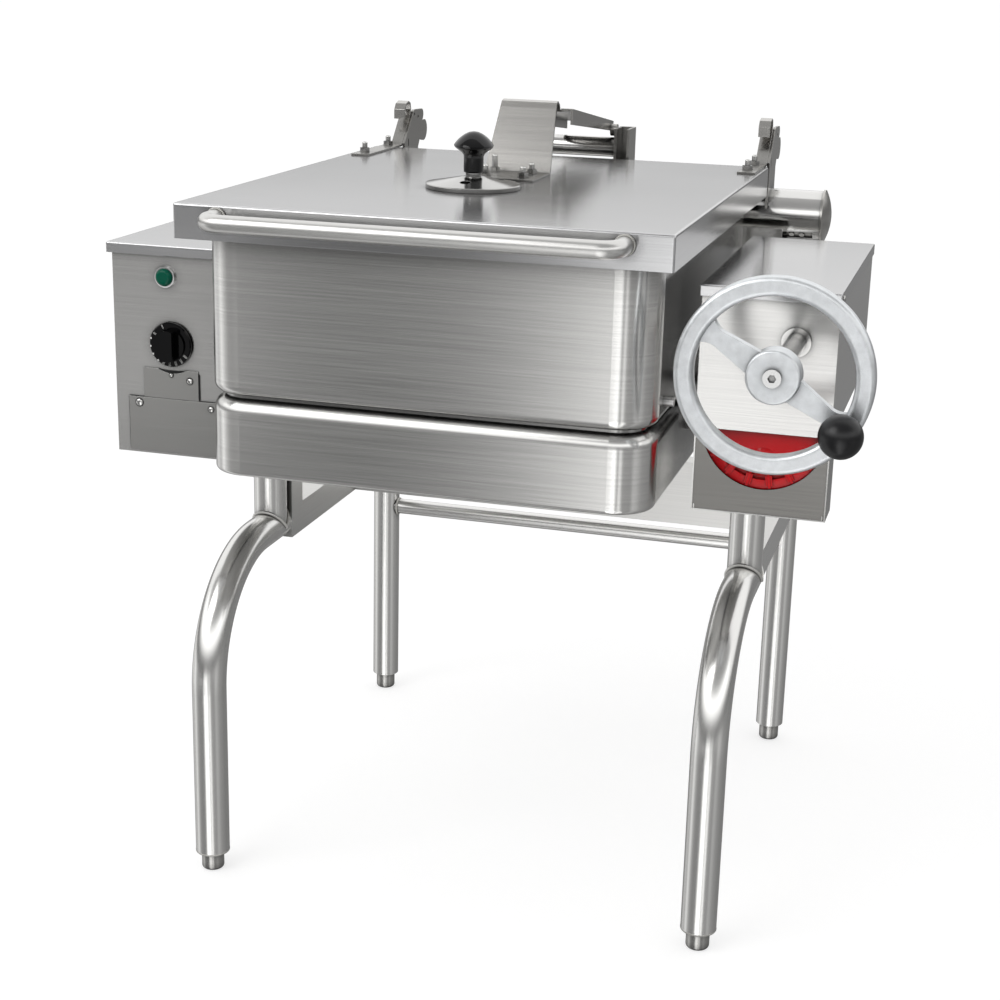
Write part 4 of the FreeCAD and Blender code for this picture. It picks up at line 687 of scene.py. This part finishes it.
for place, axis, radius, turned in screw_places:
    head = shape_mesh("panel_screw", slotted_screw, bright_steel, head_radius=radius,
                      head_height=screw_height, slot_width=0.0011)
    shade_ring = turned_ring("screw_shade_ring", [(radius * 0.8, 0.0), (radius + shade_ring_width, 0.0),
                                    (radius + shade_ring_width, shade_ring_height), (radius * 0.8, shade_ring_height)], 32)
    stand = (Matrix.Translation(place) @ Vector(axis).to_track_quat("Z", "Y").to_matrix().to_4x4()
             @ Matrix.Rotation(turned, 4, "Z"))
    head.transform(stand)
    shade_ring.transform(stand)
    screw_meshes.append(head)
    shade_ring_meshes.append(shade_ring)
add_piece("screw_shade_rings", merged("screw_shade_rings", shade_ring_meshes), painted_shadow_black, "frame", smooth=False)
screws = add_piece("slotted_panel_screws", merged("slotted_panel_screws", screw_meshes), bright_steel,
                   "frame")
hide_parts("panel_screws")

# Lamp bezel
# Chromed ring of the pilot lamp, screwed on from the front.
chrome = surface("chrome", mottle_group, (0.80, 0.80, 0.80), 0.03, 0.03, 0.06, 0.02, 0.0)
finish(chrome, "lamp_bezel")

# Lamp lens
# Moulded dome of dark green clear plastic over the pilot lamp, unlit.
green_lens = surface("green_lens", mottle_group, (0.001, 0.105, 0.062), 0.2, 0.5, 0.12, 0.02, 0.05,
                     metal=0.0, gloss=0.15)
finish(green_lens, "lamp_lens")

# Temperature dial
# Black moulded knob on a skirt with a white scale printed round it: an index line, dots, and
# plain degrees that read outwards.
dial_plastic = surface("dial_plastic", mottle_group, (0.0015, 0.0015, 0.002), 0.2, 0.2, 0.10, 0.04, 0.02,
                       metal=0.0, gloss=0.12)
finish(dial_plastic, "temperature_dial")
scale_print = surface("scale_print", mottle_group, (0.80, 0.80, 0.78), 0.1, 0.1, 0.55, 0.05, 0.05, metal=0.0)
print_lift = 0.00012
dot_ring = 0.0284
number_ring = 0.0258
number_size = 0.0044


def scale_dots_tree():
    """Round dots along an arc."""
    tree, given, result = new_shape_tree(
        "scale_dots",
        [("Ring Radius", "NodeSocketFloat", 0.027), ("Dot Radius", "NodeSocketFloat", 0.001),
         ("First Angle", "NodeSocketFloat", 0.0), ("Sweep", "NodeSocketFloat", 1.0),
         ("Dots", "NodeSocketInt", 4), ("Material", "NodeSocketMaterial", None)],
    )
    arc = tree.nodes.new("GeometryNodeCurveArc")
    arc.inputs["Resolution"].default_value = 96
    points = tree.nodes.new("GeometryNodeCurveToPoints")
    dot = tree.nodes.new("GeometryNodeMeshCircle")
    dot.fill_type = "NGON"
    dot.inputs["Vertices"].default_value = 20
    laid = tree.nodes.new("GeometryNodeInstanceOnPoints")
    join(
        tree, given.outputs["Ring Radius"], arc.inputs["Radius"], given.outputs["First Angle"],
        arc.inputs["Start Angle"], given.outputs["Sweep"], arc.inputs["Sweep Angle"],
        arc.outputs[0], points.inputs[0], given.outputs["Dots"], points.inputs["Count"],
        given.outputs["Dot Radius"], dot.inputs["Radius"], points.outputs[0], laid.inputs["Points"],
        dot.outputs["Mesh"], laid.inputs["Instance"],
    )
    end_shape_tree(tree, given, result, laid.outputs[0])
    return tree


# Face of the dial: X to the right, Y up, Z towards the cook. Angles count from X against the clock.
dial_face = Matrix.Translation(dial_centre + Vector((0, -print_lift, 0))) @ Matrix.Rotation(math.pi / 2, 4, "X")
dots = shape_mesh("dial_dots", scale_dots_tree(), scale_print, ring_radius=dot_ring, dot_radius=0.0013,
                  first_angle=math.radians(165), sweep=math.radians(66), dots=4)
index = upright_strip("dial_index", (0.0230, -0.0007, 0), (0.0290, 0.0007, 0.0001))
index.transform(Matrix.Rotation(math.radians(113), 4, "Z"))
printed = [dots, index]
numbers = [(147, "50")] + [(248 + 19.5 * step, str(100 + 50 * step)) for step in range(5)]
for angle, written in numbers:
    text = bpy.data.curves.new("dial_number", "FONT")
    text.body = written
    text.size = number_size
    text.align_x = "CENTER"
    text.align_y = "CENTER"
    letters = bpy.data.objects.new("dial_number", text)
    scene.collection.objects.link(letters)
    graph = bpy.context.evaluated_depsgraph_get()
    number = bpy.data.meshes.new_from_object(letters.evaluated_get(graph))
    bpy.data.objects.remove(letters)
    number.transform(Matrix.Rotation(math.radians(angle), 4, "Z") @ Matrix.Translation((number_ring, 0, 0)))
    printed.append(number)
for mesh in printed:
    mesh.transform(dial_face)
add_piece("dial_scale", merged("dial_scale", printed), scale_print, "dial", smooth=False)

# Thermostat and contactor
# Grey moulded switchgear inside the console: the thermostat behind the dial and the contactor on the
# base plate.
switch_grey = surface("switch_grey", mottle_group, (0.30, 0.30, 0.31), 0.15, 0.10, 0.50, 0.08, 0.10, metal=0.0)
finish(switch_grey, "thermostat", "contactor")

# Cable gland
# Black nylon gland in the console's back wall, ready for the supply cable.
nylon = surface("black_nylon", mottle_group, (0.020, 0.020, 0.021), 0.2, 0.1, 0.45, 0.08, 0.15, metal=0.0)
finish(nylon, "cable_gland")

# Left trunnion bearing
# Machined steel block on the console's base plate that the pan's left trunnion turns in.
machined = surface("machined_steel", mottle_group, (0.56, 0.555, 0.55), 0.08, 0.08, 0.28, 0.08, 0.03)
finish(machined, "left_bearing")

# Right console hood
# Folded hood over the worm drive, of the same brushed sheet. Its front stops over the apron.
finish(console_steel, "right_console_hood")

# Right console lid
# Folded lid like the other one, flush with the hood's outer side and held by a side screw.
finish(lid_steel, "right_console_lid")

# Apron
# Shallow tray below the hood's front with a round opening for the drive's nose. Its sheet is dull,
# the folded edges are dressed bright, and the corners are notched for the fold. Its very dark colour
# is partly painted shade for the darker reflection the tray shows, and the bright strips along the
# folds and at the notches are partly painted highlight for the light those edges catch.
apron_shaded_steel = surface("apron_shaded_steel", grain_group, (0.20, 0.195, 0.185), 0.24, 0.12, 0.22, 0.06, 0.01,
                      edge=0.0012)
finish(apron_shaded_steel, "right_console_apron")
apron_low, apron_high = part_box("right_console_apron")
fold_width = 0.0018
fold_front = apron_low[1] - 0.0005
fold_right = apron_high[0] - fold_width
notch_side = 0.0016
fold_top = apron_low[2] + fold_width
# The bright fold strips are partly painted highlight along the folded edges and notches.
folds = [
    upright_strip("left_fold", (apron_low[0], fold_front, apron_low[2]),
                  (apron_low[0] + fold_width, apron_low[1], apron_high[2] - 0.001)),
    upright_strip("right_fold", (fold_right, fold_front, apron_low[2]),
                  (apron_high[0], apron_low[1], apron_high[2] - 0.001)),
    upright_strip("lower_fold", (apron_low[0] + fold_width, fold_front, apron_low[2]),
                  (fold_right, apron_low[1], fold_top)),
    upright_strip("left_notch", (apron_low[0] + 0.0030, fold_front, fold_top + 0.0004),
                  (apron_low[0] + 0.0030 + notch_side, apron_low[1], fold_top + 0.0058)),
    upright_strip("right_notch", (fold_right - 0.0014 - notch_side, fold_front, fold_top + 0.0004),
                  (fold_right - 0.0014, apron_low[1], fold_top + 0.0058)),
]
add_piece("apron_folds", merged("apron_folds", folds), bright_steel, "frame")

# Gear housing and cover
# Cast iron worm gear housing in thick glossy red enamel that has run smooth over the casting.
# Its colour is darkened by painted shade from other parts within 12 cm, as under the hood's edge.
red_enamel = surface("red_enamel", mottle_group, (0.80, 0.002, 0.008), 0.10, 0.20, 0.14, 0.04, 0.25,
                     metal=0.0, gloss=0.25, painted_shade_reach=0.12)
finish(red_enamel, "gear_housing", "gear_cover")

# Nose flange
# Raised rim of the same casting round its nose. It fills the apron's round opening from behind.
flange_centre = (0.37025, -0.234725, 0.724)
flange_inner = 0.066
flange_outer = 0.0793
flange_thick = 0.0052
flange_round = 0.0016
flange = turned_ring("nose_flange", [
    (flange_inner, 0.0), (flange_outer, 0.0), (flange_outer, flange_thick - flange_round),
    (flange_outer - flange_round * 0.3, flange_thick - flange_round * 0.3),
    (flange_outer - flange_round, flange_thick), (flange_inner, flange_thick),
], 96)
flange.transform(Matrix.Translation(flange_centre) @ Matrix.Rotation(math.pi / 2, 4, "X"))
add_piece("nose_flange", flange, red_enamel, "frame")
rib_meshes = []
for angle in (-148, -126, -104, -82, -60, -38):
    rib = upright_strip("nose_rib", (0.058, -0.0042, flange_thick - 0.0010), (0.0765, 0.0042, flange_thick + 0.0022))
    rib.transform(Matrix.Translation(flange_centre) @ Matrix.Rotation(math.pi / 2, 4, "X")
                  @ Matrix.Rotation(math.radians(angle), 4, "Z"))
    rib_meshes.append(rib)
add_piece("nose_ribs", merged("nose_ribs", rib_meshes), red_enamel, "frame")

# Housing bolts
# Zinc-plated bolts round the gear cover and through the housing's foot.
finish(bright_steel, "housing_bolts")

# Worm wheel
# Bronze wheel with forty slanted teeth, keyed on the pan's right trunnion inside the housing.
bronze = surface("bronze", mottle_group, (0.60, 0.42, 0.20), 0.10, 0.10, 0.30, 0.08, 0.03)
finish(bronze, "worm_wheel")

# Worm shaft and bushes
# Ground steel shaft with the worm cut on it. It turns in steel bushes and comes out through a
# bright ring on the hood.
ground_steel = surface("ground_steel", mottle_group, (0.66, 0.655, 0.64), 0.05, 0.05, 0.14, 0.04, 0.01)
finish(ground_steel, "worm_shaft", "shaft_bushes")

# Hand wheel
# Sand-cast aluminium wheel with a flat rim and two tapered spokes, turned on its face, then
# tumbled to an even matte grey.
cast_group = fill_surface_group("cast_skin", lambda group: noise(group, (700.0, 700.0, 700.0), 2.0),
                                ((95.0, 95.0, 95.0), 3.0))
cast_aluminium = surface("cast_aluminium", cast_group, (0.715, 0.735, 0.75), 0.12, 0.40, 0.42, 0.12, 0.22,
                         edge=0.0008)
finish(cast_aluminium, "hand_wheel")

# Hub screw
# Steel socket screw with a washer face that clamps the wheel on its shaft.
dull_steel = surface("dull_steel", mottle_group, (0.62, 0.62, 0.615), 0.10, 0.10, 0.24, 0.08, 0.03)
finish(dull_steel, "hub_screw")

# Ball knob
# Black phenolic ball on the wheel's rim, polished by use.
ball_black = surface("ball_black", mottle_group, (0.004, 0.004, 0.005), 0.2, 0.2, 0.32, 0.04, 0.02,
                     metal=0.0, gloss=0.40)
finish(ball_black, "ball_knob")

# Pan skins
# Two folded and welded skins of stainless sheet round the cooking vessel with a sunk seam between
# them. They are brushed along their length.
# Its colour is darkened by painted shade from other parts within 6 cm, as under the lid's skirt and handle.
skin_steel = surface("skin_steel", grain_group, (0.665, 0.66, 0.645), 0.36, 0.08, 0.20, 0.06, 0.015,
                     stretch=0.8, painted_shade_reach=0.06)
finish(skin_steel, "pan_jacket", "base_jacket")

# Cooking vessel
# Thick-bottomed tub of heavier sheet whose rim lies on the upper skin.
vessel_steel = surface("vessel_steel", grain_group, (0.64, 0.64, 0.63), 0.12, 0.10, 0.32, 0.08, 0.02, stretch=0.4)
finish(vessel_steel, "pan_vessel")

# Heating bars
# Six flat sheathed bars, dulled by heat, clamped under the vessel's floor.
bar_metal = surface("bar_metal", mottle_group, (0.26, 0.25, 0.24), 0.3, 0.3, 0.60, 0.10, 0.10)
finish(bar_metal, "heating_elements")

# Insulation
# Mineral wool blanket round the vessel and a slab in the base.
wool = surface("mineral_wool", mottle_group, (0.62, 0.54, 0.36), 0.5, 0.2, 0.95, 0.05, 1.0, metal=0.0)
finish(wool, "insulation")

# Trunnions and stop pin
# Turned stub shafts with bolted flanges on both sides of the pan, and the pin that meets the stop.
finish(machined, "trunnion_left", "trunnion_right", "stop_pin")

# Hinge shelf
# Folded shelf welded across the pan's back for the lid's torque tube.
finish(console_steel, "hinge_shelf")

# Tube bearings
# Two bored steel blocks on the shelf that the torque tube turns in.
finish(machined, "tube_bearings")

# Lid
# One folded sheet with a skirt all round and welded, dressed corners. Its top is brushed across.
finish(lid_steel, "lid_shell")

# Lid handle
# Bar of stainless tube across the lid's front, bent back and welded to the skirt at both ends,
# and brushed along its length.
handle_low, handle_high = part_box("lid_handle")
skirt_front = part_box("lid_shell")[0][1]
handle_radius = (handle_high[2] - handle_low[2]) / 2
handle_z = (handle_high[2] + handle_low[2]) / 2
handle_half = (handle_high[0] - handle_low[0]) / 2 - handle_radius
handle_reach = skirt_front - handle_low[1] - handle_radius
handle_turn = 0.022
lid_middle = (handle_high[0] + handle_low[0]) / 2


def bar_handle(name, sides=32, bend_steps=12):
    """Level bar with both ends bent back to the skirt; angle 0 is its left end and 180 its right."""
    quarter = [90.0 * step / bend_steps for step in range(bend_steps + 1)]
    bends = [(-1, angle) for angle in quarter] + [(1, angle + 90.0) for angle in quarter]
    bend_y = skirt_front - handle_reach + handle_turn
    stations = [(lid_middle - handle_half, skirt_front, 0.0)]
    for side, angle in bends:
        heading = math.radians(angle)
        stations.append((lid_middle + side * (handle_half - handle_turn) - handle_turn * math.cos(heading),
                         bend_y - handle_turn * math.sin(heading), angle))
    stations.append((lid_middle + handle_half, skirt_front, 180.0))
    bar = bmesh.new()
    rings = []
    for x, y, angle in stations:
        heading = math.radians(angle)
        ring = []
        for corner in range(sides):
            around = 2 * math.pi * corner / sides
            out = handle_radius * math.cos(around)
            ring.append(bar.verts.new((x - out * math.cos(heading), y - out * math.sin(heading),
                                       handle_z + handle_radius * math.sin(around))))
        rings.append(ring)
    for ring, after in zip(rings, rings[1:]):
        for corner in range(sides):
            follow = (corner + 1) % sides
            bar.faces.new((ring[corner], ring[follow], after[follow], after[corner]))
    bmesh.ops.recalc_face_normals(bar, faces=bar.faces[:])
    mesh = bpy.data.meshes.new(name)
    bar.to_mesh(mesh)
    bar.free()
    return mesh


handle_steel = surface("handle_steel", mottle_group, (0.62, 0.615, 0.60), 0.08, 0.05, 0.31, 0.06, 0.02)
handle = add_piece("bar_handle", bar_handle("bar_handle"), handle_steel, "lid")
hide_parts("lid_handle")
weld_beads("handle_welds", [((lid_middle + side * handle_half, skirt_front - 0.0014, handle_z), (0, 1, 0),
                             handle_radius) for side in (-1, 1)], "lid")

# Hinge brackets
# Foot strip, leaning web with a curled head and a laser-cut side plate, welded together and bolted
# to the lid's back corners.
bracket_steel = surface("bracket_steel", grain_group, (0.49, 0.48, 0.46), 0.16, 0.10, 0.22, 0.06, 0.015,
                        stretch=0.4, edge=0.0008)
finish(bracket_steel, "hinge_brackets")

# Middle bracket
# Folded bracket with a curled top edge, bolted to the lid's middle, that pulls on the lift arm.
finish(bracket_steel, "middle_bracket")

# Lid bolts
# Stainless bolts and nuts through the brackets' feet.
finish(bright_steel, "lid_bolts")

# Lift arm
# Upside-down channel from the middle bracket back to the clevis.
finish(bracket_steel, "lift_arm")

# Clevis
# Upright channel welded on the torque tube, with the arm's pin and a far plate.
finish(bracket_steel, "clevis")

# Spring housing
# Polished round housing between the clevis and its far plate.
finish(ground_steel, "lift_spring")

# Torque tube and caps
# Polished stainless tube that the lid turns on, with a slot for clamp screws and a domed cap on
# each end.
finish(ground_steel, "torque_tube")
finish(bracket_steel, "tube_caps")

# Vent plate
# Turned stainless plate over the lid's steam holes, spun on a lathe so its grain runs in rings.
vent_steel = surface("vent_steel", mottle_group, (0.44, 0.435, 0.425), 0.08, 0.06, 0.15, 0.05, 0.02, edge=0.0006)
finish(vent_steel, "vent_disc")

# Vent knob
# Black moulded mushroom knob whose brim flares out of a straight stem under a pointed dome. A
# bright steel sleeve carries it.
knob_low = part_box("vent_knob")[0][2]
knob_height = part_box("vent_knob")[1][2] - knob_low
knob_x = (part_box("vent_knob")[0][0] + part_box("vent_knob")[1][0]) / 2
knob_y = (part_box("vent_knob")[0][1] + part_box("vent_knob")[1][1]) / 2
sleeve_radius = 0.0101
sleeve_height = 0.0062
sleeve_edge = sleeve_radius * 0.12
sleeve = turned_ring("knob_sleeve", [
    (sleeve_radius * 0.9, 0.0), (sleeve_radius, 0.0), (sleeve_radius, sleeve_height - sleeve_edge),
    (sleeve_radius - sleeve_edge * 0.3, sleeve_height - sleeve_edge * 0.3),
    (sleeve_radius - sleeve_edge, sleeve_height), (sleeve_radius * 0.9, sleeve_height),
], 48)
cap_radius = 0.026
stem_radius = 0.013
brim_height = knob_height - 0.018
neck_height = knob_height - 0.035
outline = [(0.0, sleeve_height - sleeve_edge), (stem_radius - sleeve_edge, sleeve_height - sleeve_edge),
           (stem_radius, sleeve_height)]
for step in range(13):
    flare = (0.5 - 0.5 * math.cos(math.pi * step / 12)) ** 1.6
    outline.append((stem_radius + (cap_radius - stem_radius) * flare,
                    neck_height + (brim_height - neck_height) * step / 12))
for step in range(1, 16):
    outline.append((cap_radius * (1 - (step / 16) ** 1.15) ** 0.55,
                    brim_height + (knob_height - brim_height) * step / 16))
outline.append((0.0, knob_height))
mushroom = turned_ring("mushroom_knob", outline, 64)
mushroom.transform(Matrix.Translation((knob_x, knob_y, knob_low)))
knob_black = surface("knob_black", mottle_group, (0.0012, 0.0012, 0.0016), 0.1, 0.1, 0.09, 0.02, 0.004,
                     metal=0.0, gloss=0.42)
cap = add_piece("mushroom_knob", mushroom, knob_black, "vent")
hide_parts("vent_knob")
sleeve.transform(Matrix.Translation((knob_x, knob_y, knob_low + 0.0001)))
add_piece("knob_sleeve", sleeve, ground_steel, "vent")
